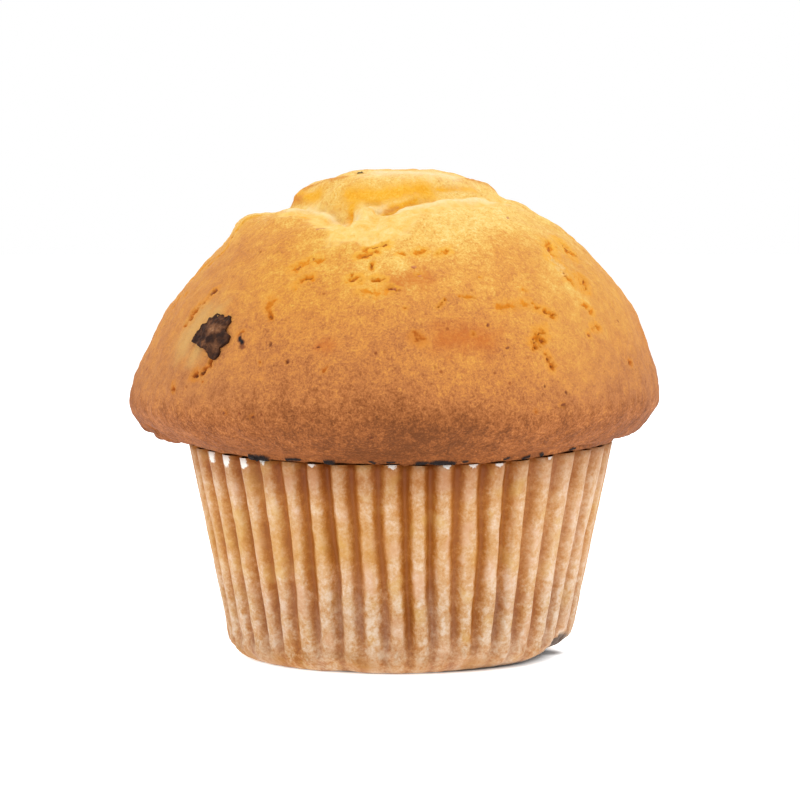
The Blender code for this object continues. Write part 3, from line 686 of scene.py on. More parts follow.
# Marks baked into the crust: kind, half width, depth, and the places it runs through, in mm
crustMarks = (
    ("pit", 0.85, 0.55, (22.2, -15.9, 60.9), (22.1, -17.1, 59.9)),
    ("pit", 0.95, 0.5, (24.2, -12.3, 61.0), (25.2, -13.0, 59.9)),
    ("pale", 0.75, 0.5, (22.5, -18.8, 58.7), (23.4, -19.0, 57.9), (24.1, -19.8, 56.6)),
    ("pit", 0.40, 0.7, (24.3, -20.2, 56.3), (25.2, -20.2, 55.2)),
    ("pit", 0.75, 0.6, (26.7, -17.5, 55.9), (26.8, -18.4, 54.9)),
    ("pit", 0.3, 0.3, (17.8, -27.2, 54.6), (18.3, -27.1, 54.5)),
    ("slit", 0.42, 0.5, (26.7, -21.5, 52.4), (27.9, -21.0, 51.4)),
    ("slit", 0.50, 0.3, (14.5, -30.6, 52.2), (16.4, -29.5, 52.4), (18.9, -28.2, 52.6)),
    ("slit", 0.45, 0.5, (19.6, -28.1, 52.0), (21.0, -27.6, 51.6), (22.0, -27.3, 51.0)),
    ("pit", 0.42, 0.8, (21.9, -27.3, 51.0), (22.0, -27.3, 51.0)),
    ("pit", 0.62, 0.8, (19.2, -30.6, 47.3), (19.7, -29.9, 48.2), (20.3, -29.6, 48.6)),
    ("pit", 0.40, 0.7, (20.0, -30.1, 47.7), (20.5, -30.2, 47.7)),
    ("slit", 0.24, 0.45, (19.1, -30.8, 47.0), (18.8, -31.2, 46.1)),
    ("slit", 0.18, 0.35, (20.2, -31.0, 46.9), (20.9, -31.0, 45.8)),
    ("slit", 0.36, 0.6, (21.0, -30.9, 45.7), (21.4, -31.1, 44.7), (21.7, -31.0, 44.0)),
    ("pit", 0.42, 0.45, (27.9, -23.0, 49.2), (28.8, -21.5, 49.3)),
    ("pit", 0.30, 0.4, (27.2, -24.3, 48.5), (27.2, -24.4, 48.3)),
    ("slit", 0.55, 0.35, (36.3, -4.8, 48.4), (36.7, -5.9, 46.9)),
    ("pit", 0.30, 0.3, (33.4, -17.9, 44.2), (33.8, -17.6, 44.0)),
    ("pit", 0.55, 0.42, (3.1, -35.5, 48.1), (3.5, -35.6, 47.7)),
    ("pit", 0.25, 0.4, (10.7, -34.1, 48.6), (11.0, -34.1, 48.6)),
    ("pit", 0.2, 0.3, (12.8, -32.7, 49.8), (12.9, -32.7, 49.8)),
    ("slit", 0.50, 0.6, (-3.6, -26.4, 60.0), (-2.5, -26.4, 60.3), (-1.1, -26.3, 60.7)),
    ("slit", 0.45, 0.5, (-4.9, -27.2, 59.1), (-3.6, -27.2, 59.4), (-2.6, -27.1, 59.8)),
    ("pit", 0.28, 0.8, (-2.9, -28.8, 58.1), (-2.9, -28.8, 57.4)),
    ("pit", 0.42, 0.9, (-2.9, -30.8, 55.9), (-2.2, -30.8, 56.1), (-1.4, -31.0, 55.9)),
    ("pit", 0.55, 0.5, (-5.9, -30.1, 55.9), (-4.8, -30.3, 56.1)),
    ("slit", 0.50, 0.35, (-4.3, -31.9, 54.4), (-2.5, -32.4, 54.3), (-0.8, -32.0, 54.7)),
    ("pit", 0.34, 0.9, (-0.4, -31.9, 55.0), (0.2, -32.1, 54.6)),
    ("pit", 0.35, 0.35, (0.7, -28.1, 59.5), (1.1, -28.1, 59.4)),
    ("pit", 0.45, 0.4, (3.1, -27.9, 59.5), (4.0, -27.4, 59.9)),
    ("pit", 0.45, 0.4, (6.1, -27.1, 59.6), (7.5, -26.3, 60.0)),
    ("pit", 0.18, 0.25, (2.6, -29.7, 57.8), (2.9, -29.7, 57.7)),
    ("pit", 0.25, 0.3, (3.2, -30.5, 56.7), (3.6, -30.5, 56.7)),
    ("slit", 0.22, 0.55, (6.2, -33.1, 52.1), (6.5, -32.8, 52.6), (6.9, -32.6, 53.2)),
    ("slit", 0.18, 0.3, (9.0, -31.6, 53.7), (9.9, -31.5, 53.7), (11.1, -31.1, 53.6)),
    ("pit", 0.2, 0.3, (1.4, -34.0, 52.1), (1.8, -33.9, 52.1)),
    ("slit", 0.60, 0.5, (-13.6, -25.6, 57.5), (-12.4, -25.5, 58.1), (-11.1, -25.5, 58.6)),
    ("slit", 0.42, 0.5, (-13.5, -27.9, 55.2), (-12.8, -27.7, 55.9), (-11.4, -27.8, 56.3)),
    ("pit", 0.60, 0.35, (-17.2, -28.3, 52.4), (-17.0, -28.0, 53.0)),
    ("slit", 0.30, 0.45, (-17.3, -29.0, 51.6), (-17.0, -29.5, 50.8)),
    ("slit", 0.46, 0.8, (-27.0, -18.4, 52.6), (-26.2, -18.3, 53.6), (-25.5, -18.3, 54.3)),
    ("slit", 0.62, 0.7, (-29.1, -17.9, 50.0), (-28.7, -17.7, 50.8), (-28.1, -17.6, 51.7)),
    ("slit", 0.36, 0.7, (-25.0, -26.6, 44.7), (-25.6, -27.2, 43.9), (-26.8, -26.9, 43.0)),
    ("pit", 0.50, 0.8, (-27.9, -25.9, 42.6), (-27.2, -26.2, 42.6)),
    ("slit", 0.26, 0.5, (-31.0, -23.0, 41.3), (-30.9, -23.5, 40.3)),
    ("pit", 0.18, 0.25, (-18.3, -32.7, 44.7), (-18.2, -32.8, 44.5)),
    ("pit", 0.18, 0.25, (-14.8, -34.6, 44.9), (-14.6, -34.6, 44.7)),
    ("pit", 0.25, 0.2, (-9.6, -37.0, 43.8), (-9.1, -37.0, 44.2)),
    ("pit", 0.2, 0.2, (-26.6, -27.6, 41.8), (-26.5, -27.8, 41.7)),
    ("pit", 0.2, 0.25, (-23.3, -31.5, 37.8), (-23.2, -31.5, 37.7)),
    ("pit", 0.2, 0.25, (-19.5, -34.1, 37.4), (-19.2, -34.2, 37.4)),
    ("pit", 0.22, 0.3, (23.1, -31.5, 38.8), (23.4, -31.3, 38.8)),
    ("pit", 0.2, 0.3, (19.3, -33.7, 38.1), (19.5, -33.7, 38.0)),
    ("pit", 0.18, 0.2, (11.9, -28.8, 56.3), (12.1, -28.8, 56.3)),
    ("pit", 0.18, 0.2, (15.4, -33.4, 46.8), (15.7, -33.3, 46.8)),
    ("spot", 0.24, 0.1, (16.3, -15.0, 64.9), (16.3, -15.4, 64.7)),
    ("spot", 0.22, 0.1, (-10.9, -20.6, 63.0), (-9.8, -20.8, 63.3)),
    ("spot", 0.26, 0.3, (-17.1, -32.1, 47.3), (-17.0, -32.1, 47.1)),
    ("spot", 0.22, 0.2, (-10.4, -35.5, 47.0), (-10.3, -35.5, 47.0)),
    ("spot", 0.28, 0.3, (-14.6, -34.5, 44.7), (-14.4, -34.5, 44.9)),
    ("spot", 0.22, 0.2, (-23.6, -31.4, 37.6), (-23.5, -31.4, 37.6)),
    ("spot", 0.22, 0.2, (-19.3, -34.1, 37.3), (-19.2, -34.1, 37.3)),
    ("spot", 0.22, 0.2, (23.2, -31.2, 38.8), (23.6, -31.0, 38.8)),
    ("spot", 0.2, 0.2, (23.7, -30.9, 40.6), (23.8, -30.8, 40.6)),
    ("spot", 0.2, 0.2, (20.8, -32.5, 41.5), (20.8, -32.5, 41.4)),
    ("spot", 0.2, 0.2, (15.5, -33.2, 46.7), (15.7, -33.2, 46.7)),
    ("spot", 0.22, 0.1, (12.8, -32.6, 49.8), (12.9, -32.6, 49.8)),
    ("spot", 0.2, 0.2, (27.3, -24.2, 48.3), (27.3, -24.2, 48.2)),
    ("spot", 0.22, 0.2, (33.4, -18.2, 44.1), (33.5, -18.0, 44.1)),
    ("spot", 0.2, 0.1, (2.6, -29.6, 57.8), (2.9, -29.6, 57.8)),
    ("spot", 0.2, 0.1, (3.5, -30.8, 56.6), (3.7, -30.8, 56.6)),
    ("spot", 0.26, 0.3, (-0.3, -32.0, 54.8), (0.1, -32.1, 54.6)),
    ("lump", 1.1, -0.5, (-14.2, -10.5, 65.7), (-12.3, -8.2, 65.8), (-9.8, -13.0, 64.9)),
    ("lump", 0.9, -0.7, (-4.7, -17.9, 65.3), (-3.3, -15.1, 65.7)),
    ("lump", 0.8, -0.4, (0.6, -17.4, 65.4), (2.6, -16.2, 66.0), (5.1, -15.5, 66.5), (8.0, -15.3, 66.9),
        (11.7, -11.6, 67.4)),
    ("lump", 0.9, -0.6, (-14.4, -2.6, 68.0), (-13.0, -4.3, 67.8)),
    ("lump", 0.8, -0.5, (-34.8, -8.0, 33.9), (-34.4, -9.4, 33.6)),
    ("lump", 0.7, -0.55, (-33.0, -9.6, 32.9), (-32.6, -10.4, 32.9)),
    ("crease", 0.5, 0.4, (-35.2, -10.5, 35.0), (-33.6, -12.2, 34.0), (-32.4, -12.6, 33.3)),
    ("lump", 0.9, -0.4, (-8.8, -11.6, 67.4), (-7.8, -11.0, 69.1), (-6.4, -9.8, 70.3)),
    ("lump", 1.3, -0.35, (3.7, -12.7, 69.7), (8.1, -8.7, 70.0)),
    ("hollow", 0.6, 0.9, (-6.8, -20.1, 63.9), (-6.5, -14.8, 65.0)),
    ("hollow", 0.6, 0.8, (-1.3, -16.8, 65.3), (-0.3, -16.8, 65.6)),
    ("crease", 0.4, 0.45, (-13.5, -7.5, 66.3), (-9.3, -12.6, 65.6), (-7.6, -14.6, 64.3),
        (-6.7, -20.9, 63.7), (-5.6, -18.2, 64.6), (-5.0, -17.2, 65.9), (-3.8, -14.4, 66.6),
        (-2.3, -14.6, 66.8)),
    ("crease", 0.4, 0.45, (-1.3, -16.8, 65.3), (-0.3, -17.1, 65.4), (1.3, -15.8, 66.2),
        (2.7, -14.8, 66.7), (5.1, -14.2, 67.2), (9.0, -13.1, 67.6), (13.1, -8.1, 68.0)),
    ("toast", 0.4, -0.15, (-14.3, -1.0, 69.0), (-12.6, -2.1, 69.4), (-10.9, -3.7, 70.0),
        (-8.8, -7.3, 70.5), (-6.9, -8.0, 70.9)),
    ("toast", 0.5, -0.2, (10.5, -6.1, 70.5), (12.3, -3.4, 70.0), (13.6, -1.2, 69.7), (14.8, 0.6, 69.0)),
    ("glow", 1.5, 0, (-6.3, -12.4, 68.0), (-2.8, -13.9, 67.9), (0.6, -13.9, 68.2), (4.6, -13.1, 68.8)),
    ("glow", 0.55, 0, (-1.4, -16.3, 65.4), (-0.3, -15.9, 66.2), (1.3, -15.2, 66.7), (3.1, -14.5, 67.3)),
    ("glow", 0.6, 0, (-6.7, -17.1, 64.2), (-6.3, -14.5, 65.3), (-6.1, -13.5, 66.5)),
    ("glow", 1.1, 0, (-14.9, -0.5, 67.8), (-13.9, -2.2, 67.8), (-11.1, -6.8, 68.0)),
    ("glow", 0.45, 0, (6.0, -11.8, 68.8), (8.8, -9.2, 69.0), (11.6, -7.6, 68.7)),
    ("glow", 0.45, 0, (-3.6, -26.8, 60.0), (-2.2, -26.4, 60.5), (-0.8, -27.1, 60.7)),
    ("glow", 0.5, 0, (-13.5, -14.7, 65.0), (-12.6, -15.0, 64.9)),
    ("glow", 0.4, 0, (22.2, -16.2, 60.3), (22.6, -15.6, 60.2)),
    ("cream", 0.7, 0, (-15.5, -11.5, 65.0), (-12.5, -8.6, 66.0), (-9.6, -13.2, 65.2),
        (-7.4, -16.5, 64.2)),
    ("cream", 0.7, 0, (-5.8, -19.0, 64.8), (-4.0, -15.6, 66.0), (-2.2, -15.6, 66.0)),
    ("cream", 0.8, 0, (0.4, -18.0, 65.2), (2.6, -16.4, 66.2), (6.6, -15.2, 66.9), (12.4, -11.6, 67.5),
        (15.5, -9.0, 67.2)),
    ("cream", 2.2, 0, (-2.0, -8.6, 71.0), (4.0, -8.6, 71.1), (8.0, -7.0, 71.0)),
    ("yellow", 1.6, 0, (-3.9, -28.4, 58.5), (-3.0, -30.5, 56.6), (-1.9, -32.1, 55.0)),
    ("yellow", 1.5, 0, (0.1, -29.4, 58.5), (1.4, -30.4, 57.4), (1.9, -31.6, 55.8)),
    ("yellow", 1.4, 0, (21.8, -20.5, 58.5), (23.2, -20.4, 57.3), (24.3, -21.5, 55.4)),
    ("yellow", 1.0, 0, (25.6, -21.0, 54.5), (27.7, -20.9, 52.0)),
    ("spot", 0.52, 0.2, (-21.5, -29.3, 48.2), (-21.3, -29.7, 47.5), (-21.0, -29.9, 46.8)),
    ("fleck", 0.34, -0.15, (-21.5, -29.3, 48.1), (-21.2, -29.8, 47.3)),
    ("spot", 0.20, 0.2, (-25.9, -18.3, 54.0), (-25.4, -18.3, 54.5)),
    ("spot", 0.26, 0.3, (-27.9, -25.9, 42.6), (-27.2, -26.2, 42.5)),
    ("slit", 0.34, 0.3, (-21.9, -28.9, 48.8), (-21.1, -29.2, 48.9)),
    ("glow", 0.8, 0, (-2.0, -16.3, 66.0), (-0.2, -16.0, 66.3), (1.2, -15.6, 66.5)),
    ("toast", 0.26, 0, (-1.6, -16.3, 66.0), (-0.2, -16.0, 66.2), (0.6, -15.8, 66.4)),
    ("toast", 0.8, 0, (-15.2, -1.4, 67.4), (-13.4, -3.4, 67.3)),
    ("fleck", 0.3, -0.25, (-5.3, -7.4, 71.4), (-4.7, -7.1, 71.5)),
    ("fleck", 0.45, -0.4, (8.6, 23.2, 60.6), (9.2, 22.8, 60.8)),
    ("red", 1.5, 0.1, (0.2, -31.6, 55.6), (2.0, -31.2, 55.9), (3.8, -30.6, 56.3)),
    ("red", 1.9, 0.1, (6.6, -35.5, 48.0), (9.7, -34.7, 48.4), (12.4, -33.9, 47.8)),
    ("red", 0.9, 0, (3.1, -35.5, 48.1), (3.5, -35.6, 47.7)),
    ("red", 0.8, 0, (-10.4, -35.5, 47.0), (-8.7, -36.0, 47.1)),
    ("lump", 1.1, -0.55, (-36.4, -4.0, 34.2), (-36.2, -6.5, 34.1)),
    ("lump", 1.0, -0.5, (-34.7, -5.0, 32.9), (-34.4, -7.5, 32.9)),
    ("lump", 1.2, -0.6, (-32.5, -5.0, 31.9), (-31.8, -8.5, 31.9)),
    ("crease", 0.4, 0.4, (-35.6, -4.0, 33.4), (-35.2, -8.5, 33.5)),
    ("crease", 0.4, 0.4, (-33.7, -4.0, 32.3), (-33.2, -9.5, 32.4)),
    ("paleZone", 2.5, 0, (-29.6, -20.7, 47.0), (-28.4, -20.3, 49.2), (-27.0, -20.6, 50.9)),
    ("paleZone", 1.4, 0, (-27.7, -23.6, 45.0), (-24.5, -22.6, 51.2)),
)
# Near-black lumps on the seam: bearing in degrees, half its length and its thickness in mm
seamDarkLumps = (
    (-130.3, 0.6, 0.50), (-127.6, 0.5, 0.60), (-118.0, 1.0, 0.28), (-108.2, 0.45, 0.48),
    (-97.0, 0.3, 0.22), (-92.5, 0.4, 0.22), (-84.5, 0.6, 0.30), (-79.5, 1.5, 0.38), (-73.5, 0.25, 0.22),
    (-62.2, 0.25, 0.22), (-56.3, 0.3, 0.30), (-51.3, 0.25, 0.28), (-40.0, 0.3, 0.28), (8.0, 0.8, 0.40),
    (63.0, 1.2, 0.50), (97.0, 0.5, 0.35), (122.0, 1.0, 0.45), (160.0, 0.7, 0.40),
)
bittenKinds = ("pit", "slit", "pale")
fineKinds = bittenKinds + ("spot", "fleck")
texturedKinds = ("pit", "core", "halo", "pale", "spot", "fleck")
maskNames = texturedKinds + ("red", "glow", "cream", "yellow", "toast", "paleZone")

cake = copyOfNode("cake", "cake_crust")
finishWith(cake, "SUBSURF", levels=1, render_levels=1)
finishWith(cake, "REMESH", mode="VOXEL", voxel_size=crust["roughVoxel"])
finishWith(cake, "SMOOTH", factor=0.5, iterations=10)


def fillPocket():  # the crust closes round the front piece, which is set in it afterwards
    points = pointsOf(cake)
    right, high, rise = chunkPlan(points)
    apart = np.hypot(right, high)
    full, eased, reach = chunk["pocket"]
    near = (apart < reach) & (rise > -chunk["pocketDepth"])
    ring = near & (apart > eased)
    fit = np.linalg.lstsq(bowl(right[ring], high[ring]), rise[ring], rcond=None)[0]
    level = bowl(right, high) @ fit
    share = smoothStep(eased, full, apart) * near
    movePoints(cake, points + ((level - rise) * share)[:, None] * chunkWays()[2])
    return fit


pocketLevel = fillPocket()


def toSegment(points, start, end):
    way = end - start
    share = np.clip((points - start) @ way / max(way @ way, 1e-12), 0, 1)
    return np.linalg.norm(points - (start + share[:, None] * way), axis=1)


def outsideOf(places, edge):  # distance from a closed outline seen from above, negative inside
    best = np.full(len(places), 1e9)
    inside = np.zeros(len(places), dtype=bool)
    corners = np.array(edge) / 1000
    for start, end in zip(corners, np.roll(corners, -1, axis=0)):
        best = np.minimum(best, toSegment(places, start, end))
        way = end - start
        crosses = (start[1] > places[:, 1]) != (end[1] > places[:, 1])
        side = start[0] + (places[:, 1] - start[1]) * way[0] / (way[1] or 1e-12)
        inside ^= crosses & (places[:, 0] < side)
    return np.where(inside, -best, best)


def crumbDistance(points):  # from the crumb's edge, made ragged, and negative on the crumb
    places = points[:, :2].copy()
    wander = crust["edgeWander"]
    for side in (0, 1):
        fine, coarse = grain(points, 0.0011, 21 + 2 * side), grain(points, 0.003, 22 + 2 * side)
        places[:, side] += wander * fine + wander * coarse
    away = np.full(len(points), 0.02)
    crown = points[:, 2] > crust["crumbFrom"]
    away[crown] = outsideOf(places[crown], crumbEdge)
    return away


def shapeCrown():
    points = pointsOf(cake)
    crown = points[:, 2] > crust["crownFrom"]
    x, y = points[:, 0] * 1000, points[:, 1] * 1000
    lift = np.zeros(len(points))
    for left, back, reachX, reachY, rise in crownSwells:
        lift += rise * np.exp(-(((x - left) / reachX) ** 2) - ((y - back) / reachY) ** 2)
    points[:, 2] += np.where(crown, lift / 1000, 0.0)
    away = crumbDistance(points)
    points[:, 2] -= crust["crumbDrop"] * smoothStep(0.0005, -0.0008, away)
    points[:, 2] += crust["crumbRim"] * swell(away - 0.0008, 0.0007) * crown
    points[:, 2] -= 0.00015 * smoothStep(0.0700, 0.0715, points[:, 2])
    movePoints(cake, points)


def tuckFoot():  # inside the case the crust stays clear of the folds, and over the rim it bulges out
    points = pointsOf(cake)
    off = points[:, :2] - np.array(axis[:2])
    radius, bearing = aroundAxis(points)
    height = points[:, 2]
    wide = smoothStep(0.0335, 0.0375, radius)
    height = height + levelAt(lipLift, bearing) * swell(height - crust["lip"], crust["lipReach"]) * wide
    seam = levelAt(seamHeights, bearing)
    raised = (seam - case["height"]) * smoothStep(0.0352, 0.0318, radius)
    raised *= smoothStep(0.0360, 0.0330, height)
    height = height + raised * smoothStep(0.0280, 0.0302, height)
    lifted = 2.4 * levelAt(footLift, bearing) * smoothStep(0.006, 0.001, height)
    inside = wallAt(height) - crust["footClearance"] - lifted
    tuck = smoothStep(seam + 0.0002, seam - 0.0001, height)
    tucked = radius + (np.minimum(radius, inside) - radius) * tuck
    wide, narrow = crust["seamWaves"]
    wavy = wide * grain(points, 0.0035, 14) + narrow * grain(points, 0.0013, 15)
    bulge = wallAt(seam) + crust["seamBulge"] + wavy
    over = smoothStep(seam - 0.0001, seam + 0.0003, height + 0.0002 * grain(points, 0.003, 16))
    over *= smoothStep(seam + 0.0019, seam + 0.0007, height) * (radius > 0.0290)
    tucked = np.maximum(tucked, tucked + (bulge - tucked) * over)
    points[:, :2] = np.array(axis[:2]) + off * (tucked / np.maximum(radius, 1e-6))[:, None]
    points[:, 2] = height
    movePoints(cake, points)


shapeCrown()
tuckFoot()
finishWith(cake, "REMESH", mode="VOXEL", voxel_size=crust["voxel"])
finishWith(cake, "SMOOTH", factor=0.5, iterations=3)
print("crust is remeshed:", len(cake.data.polygons), "faces")


def lumpCrust():
    points = pointsOf(cake)
    dome = smoothStep(0.0305, 0.0335, points[:, 2])
    shift = crust["lump"] * grain(points, 0.0045, 1) + crust["pebble"] * grain(points, 0.0013, 2)
    crumb = smoothStep(0.0003, -0.0003, crumbDistance(points))
    shift += crumb * crust["crumbLump"] * (grain(points, 0.0026, 7) + 0.6 * grain(points, 0.0012, 8))
    movePoints(cake, points + normalsOf(cake) * (shift * dome)[:, None])


def cakeTree():
    points = [tuple(p) for p in pointsOf(cake)]
    return BVHTree.FromPolygons(points, [tuple(f.vertices) for f in cake.data.polygons])


def seamMarks():  # the near-black lumps on the seam as marks
    marks = []
    for bearing, reach, thick in seamDarkLumps:
        line = []
        for side in (-1, 0, 1):
            here = math.radians(bearing) + side * reach / 31.8  # the rim's radius in mm
            level = float(levelAt(seamHeights, here)) * 1000 + 0.25
            out = 25.3 + case["lean"] * level + 0.35
            tilt = 0.2 * side * (-1) ** int(bearing)
            x, y = axis.x * 1000 + out * math.cos(here), axis.y * 1000 + out * math.sin(here)
            line.append((x, y, level + tilt))
        marks.append(("fleck", 1.2 * thick, -0.9 * thick, *line))
    return tuple(marks)


def backMarks(tree):  # the crust goes on in the same way round the back
    draw = random.Random(11)
    marks = []
    while len(marks) < crust["backMarks"]:
        bearing, pitch = draw.uniform(-8, 205), draw.uniform(1, 50)
        slit = draw.random() < 0.35
        reach = draw.uniform(1.5, 4.5) if slit else draw.uniform(0.3, 1.2)
        turn = draw.uniform(0, math.tau)
        width, depth = draw.uniform(0.2, 0.45), draw.uniform(0.25, 0.8)
        if pitch < 10:
            width, depth, reach = 0.2, 0.25, 0.3
        line = []
        for _ in range(3 if slit else 2):
            across, rise = math.radians(bearing), math.radians(pitch)
            level = math.cos(rise)
            way = Vector((math.cos(across) * level, math.sin(across) * level, math.sin(rise)))
            line.append(tuple(tree.ray_cast(middle, way)[0] * 1000))
            turn += draw.uniform(-0.7, 0.7)
            bearing += reach * math.cos(turn)
            pitch += reach * math.sin(turn)
        marks.append(("slit" if slit else "pit", width, depth, *line))
    return tuple(marks)


def bitesAlong(spots, width, depth, draw):  # knobbly bites strung along a line: place, radius, depth
    bites = []
    for start, end in zip(spots, spots[1:]):
        count = max(1, round(np.linalg.norm(end - start) / (1.3 * width)))
        for step in range(count + 1):
            jitter = np.array([draw.gauss(0, 0.42 * width) for _ in range(3)])
            place = start + (end - start) * step / count + jitter
            bites.append((place, width * draw.uniform(0.4, 1.2), depth * draw.uniform(0.35, 1.2)))
    return bites


def placeMarks(tree):  # on the crust, in metres
    draw = random.Random(5)
    marks = []
    for kind, width, depth, *line in crustMarks + seamMarks() + backMarks(tree):
        spots = [np.array(tree.find_nearest(Vector(place) / 1000)[0]) for place in line]
        bites = []
        if kind in bittenKinds:
            width *= crust["markWidth"]
            bites = bitesAlong(spots, width / 1000, depth / 1000, draw)
        marks.append((kind, width / 1000, depth / 1000, spots, bites))
    return marks


lumpCrust()
placedMarks = placeMarks(cakeTree())


def distanceToLine(points, line):
    return np.min([toSegment(points, start, end) for start, end in zip(line, line[1:])], axis=0)


def closeTo(points, spots, margin):  # which of the points a mark can reach
    centre = sum(spots) / len(spots)
    reach = max(np.linalg.norm(spot - centre) for spot in spots) + margin
    return np.nonzero(np.linalg.norm(points - centre, axis=1) < reach)[0]


def refineMarks():  # smaller faces where something is carved
    centres = np.array([f.center for f in cake.data.polygons])
    chosen = np.zeros(len(centres), dtype=bool)
    for kind, width, depth, spots, bites in placedMarks:
        if kind in fineKinds:
            margin = 2 * width + 0.0003
            near = closeTo(centres, spots, margin)
            chosen[near] |= distanceToLine(centres[near], spots) < margin
    pickUp(cake)
    bpy.ops.object.mode_set(mode="EDIT")
    bpy.ops.mesh.select_mode(type="FACE")
    bpy.ops.mesh.select_all(action="DESELECT")
    bpy.ops.object.mode_set(mode="OBJECT")
    cake.data.polygons.foreach_set("select", chosen)
    bpy.ops.object.mode_set(mode="EDIT")
    bpy.ops.mesh.subdivide(number_cuts=1, smoothness=0.0)
    bpy.ops.object.mode_set(mode="OBJECT")


def markCrust():  # cuts or raises each mark, and keeps its share at each point for the finish
    points = pointsOf(cake)
    normals = normalsOf(cake)
    shift = np.zeros(len(points))
    masks = {name: np.zeros(len(points)) for name in maskNames}
    for kind, width, depth, spots, bites in placedMarks:
        near = closeTo(points, spots, 3 * width + 0.001)
        here = points[near]
        torn = here.copy()
        for side in range(3):
            fray = 0.65 * width * grain(here, 0.0005, 30 + side)
            torn[:, side] += fray + 0.75 * width * grain(here, 0.0012, 33 + side)
        found = {}
        if kind in bittenKinds:
            away = distanceToLine(torn, spots)
            rough = 0.74 + 1.4 * grain(here, 0.0009, 36) + 0.6 * grain(here, 0.0004, 37)
            uneven = width * np.clip(rough, 0.2, 1.6)
            cut = 0.9 * depth * smoothStep(1.35 * uneven, 0.0, away)
            share = 0.9 * smoothStep(1.5 * uneven, 0.35 * uneven, away)
            for place, radius, deep in bites:
                fromBite = np.linalg.norm(torn - place, axis=1)
                cut = np.maximum(cut, deep * smoothStep(1.1 * radius, 0.2 * radius, fromBite))
                bitten = smoothStep(1.25 * radius, 0.3 * radius, fromBite)
                share = np.maximum(share, bitten * min(1.0, 0.5 + deep / 0.0008))
            fade = 0.86 + 1.4 * grain(here, 0.0010, 41) + 0.5 * grain(here, 0.0004, 42)
            fade = np.clip(fade, 0.2, 1.0)
            cut *= 0.45 + 0.55 * fade
            share *= fade
            shift[near] = np.minimum(shift[near], -cut)
            shift[near] += 0.12 * depth * swell(away - 1.5 * width, 0.5 * width) * (share < 0.05)
            deepShare = min(1.0, max(depth - 0.0003, 0) / 0.0003)
            found["core"] = smoothStep(0.65 * uneven, 0.2 * uneven, away) * deepShare
            found["pale" if kind == "pale" else "pit"] = share
            found["halo"] = smoothStep(2.8 * width, 1.1 * width, away) * min(1.0, depth / 0.0005)
        elif kind in fineKinds:
            away = distanceToLine(torn, spots)
            found[kind] = smoothStep(1.25 * width, 0.75 * width, away)
            shift[near] -= depth * smoothStep(1.3 * width, 0.3 * width, away)
        else:
            away = distanceToLine(here, spots) * (1.0 + 0.55 * grain(here, 0.0016, 4))
            found[kind] = swell(away, width)
            shift[near] -= depth * found[kind]
        for name, share in found.items():
            if name in masks:
                masks[name][near] = np.maximum(masks[name][near], share)
    points += normals * shift[:, None]
    points[:, 2] = np.minimum(points[:, 2], crust["top"])
    movePoints(cake, points)
    keepValues(cake, masks)


def bakeCrust():  # how far each place is browned, and its tint
    points = pointsOf(cake)
    inMm = points * 1000
    levels, shares = np.array(bakeLevels).T
    bake = np.interp(inMm[:, 2], levels, shares)
    for x, y, z, reach, change in bakePatches:
        bake += change * swell(np.linalg.norm(inMm - (x, y, z), axis=1), reach)
    flank = smoothStep(14.0, 30.0, np.abs(inMm[:, 0])) * smoothStep(0.036, 0.041, points[:, 2])
    away = crumbDistance(points) + 0.0009 * grain(points, 0.0007, 25)
    keepValues(cake, {
        "bake": bake,
        "dull": flank * smoothStep(0.020, -0.010, points[:, 1]),
        "rich": swell(np.linalg.norm(inMm - crust["richSpot"], axis=1), crust["richReach"]),
        "crumb": smoothStep(0.0010, -0.0008, away),
    })


refineMarks()
markCrust()
bakeCrust()


def thinOut(name, chosen, ratio):
    group = cake.vertex_groups.new(name=name)
    group.add([int(index) for index in np.nonzero(chosen)[0]], 1.0, "REPLACE")
    finishWith(cake, "DECIMATE", ratio=ratio, vertex_group=name)
    cake.vertex_groups.clear()


# Few faces at the foot, which nobody sees in its case, and fewer where the crust is plain
hidden = pointsOf(cake)[:, 2] < crust["hiddenBelow"]
thinOut("foot", hidden, 1 - crust["hiddenThinned"] * np.mean(hidden))
marked = sum(valueOf(cake, name) for name in texturedKinds)
thinOut("plain", marked < 0.02, crust["plainShare"])
smoothShade(cake)
triangles = sum(len(face.vertices) - 2 for face in cake.data.polygons)
print("crust is marked:", triangles, "triangles")


# chocolate pieces


def trimToEdge(piece):  # the front piece gets its own broken outline and faces
    points = pointsOf(piece)
    across, up, out = chunkWays()
    right, high, rise = chunkPlan(points)
    angle, reach = np.degrees(np.arctan2(high, right)), np.hypot(right, high)
    pitch = 6
    bins = np.arange(-180, 181, pitch)
    edgeNow = [reach[np.abs((angle - b + 180) % 360 - 180) < pitch].max() for b in bins]
    wantedAt, wanted = np.array(brokenEdge).T
    wantedHere = np.interp(angle, wantedAt, wanted, period=360) / 1000
    share = wantedHere / np.interp(angle, bins, edgeNow) - 1
    points = points + (share * right)[:, None] * across + (share * high)[:, None] * up
    right, high, rise = chunkPlan(points)
    faces = [(tilt * right + climb * high) + height / 1000 for tilt, climb, height in brokenFaces]
    top = bowl(right, high) @ pocketLevel + chunk["proud"] + np.maximum(np.min(faces, axis=0), 0.0)
    top += 0.00012 * grain(points, 0.0009, 9)
    below = rise - rise.max()  # 0 at the top of the piece
    newRise = top + np.where(below > -chunk["skin"], 0.0, below + chunk["skin"])
    movePoints(piece, points + (newRise - rise)[:, None] * out)


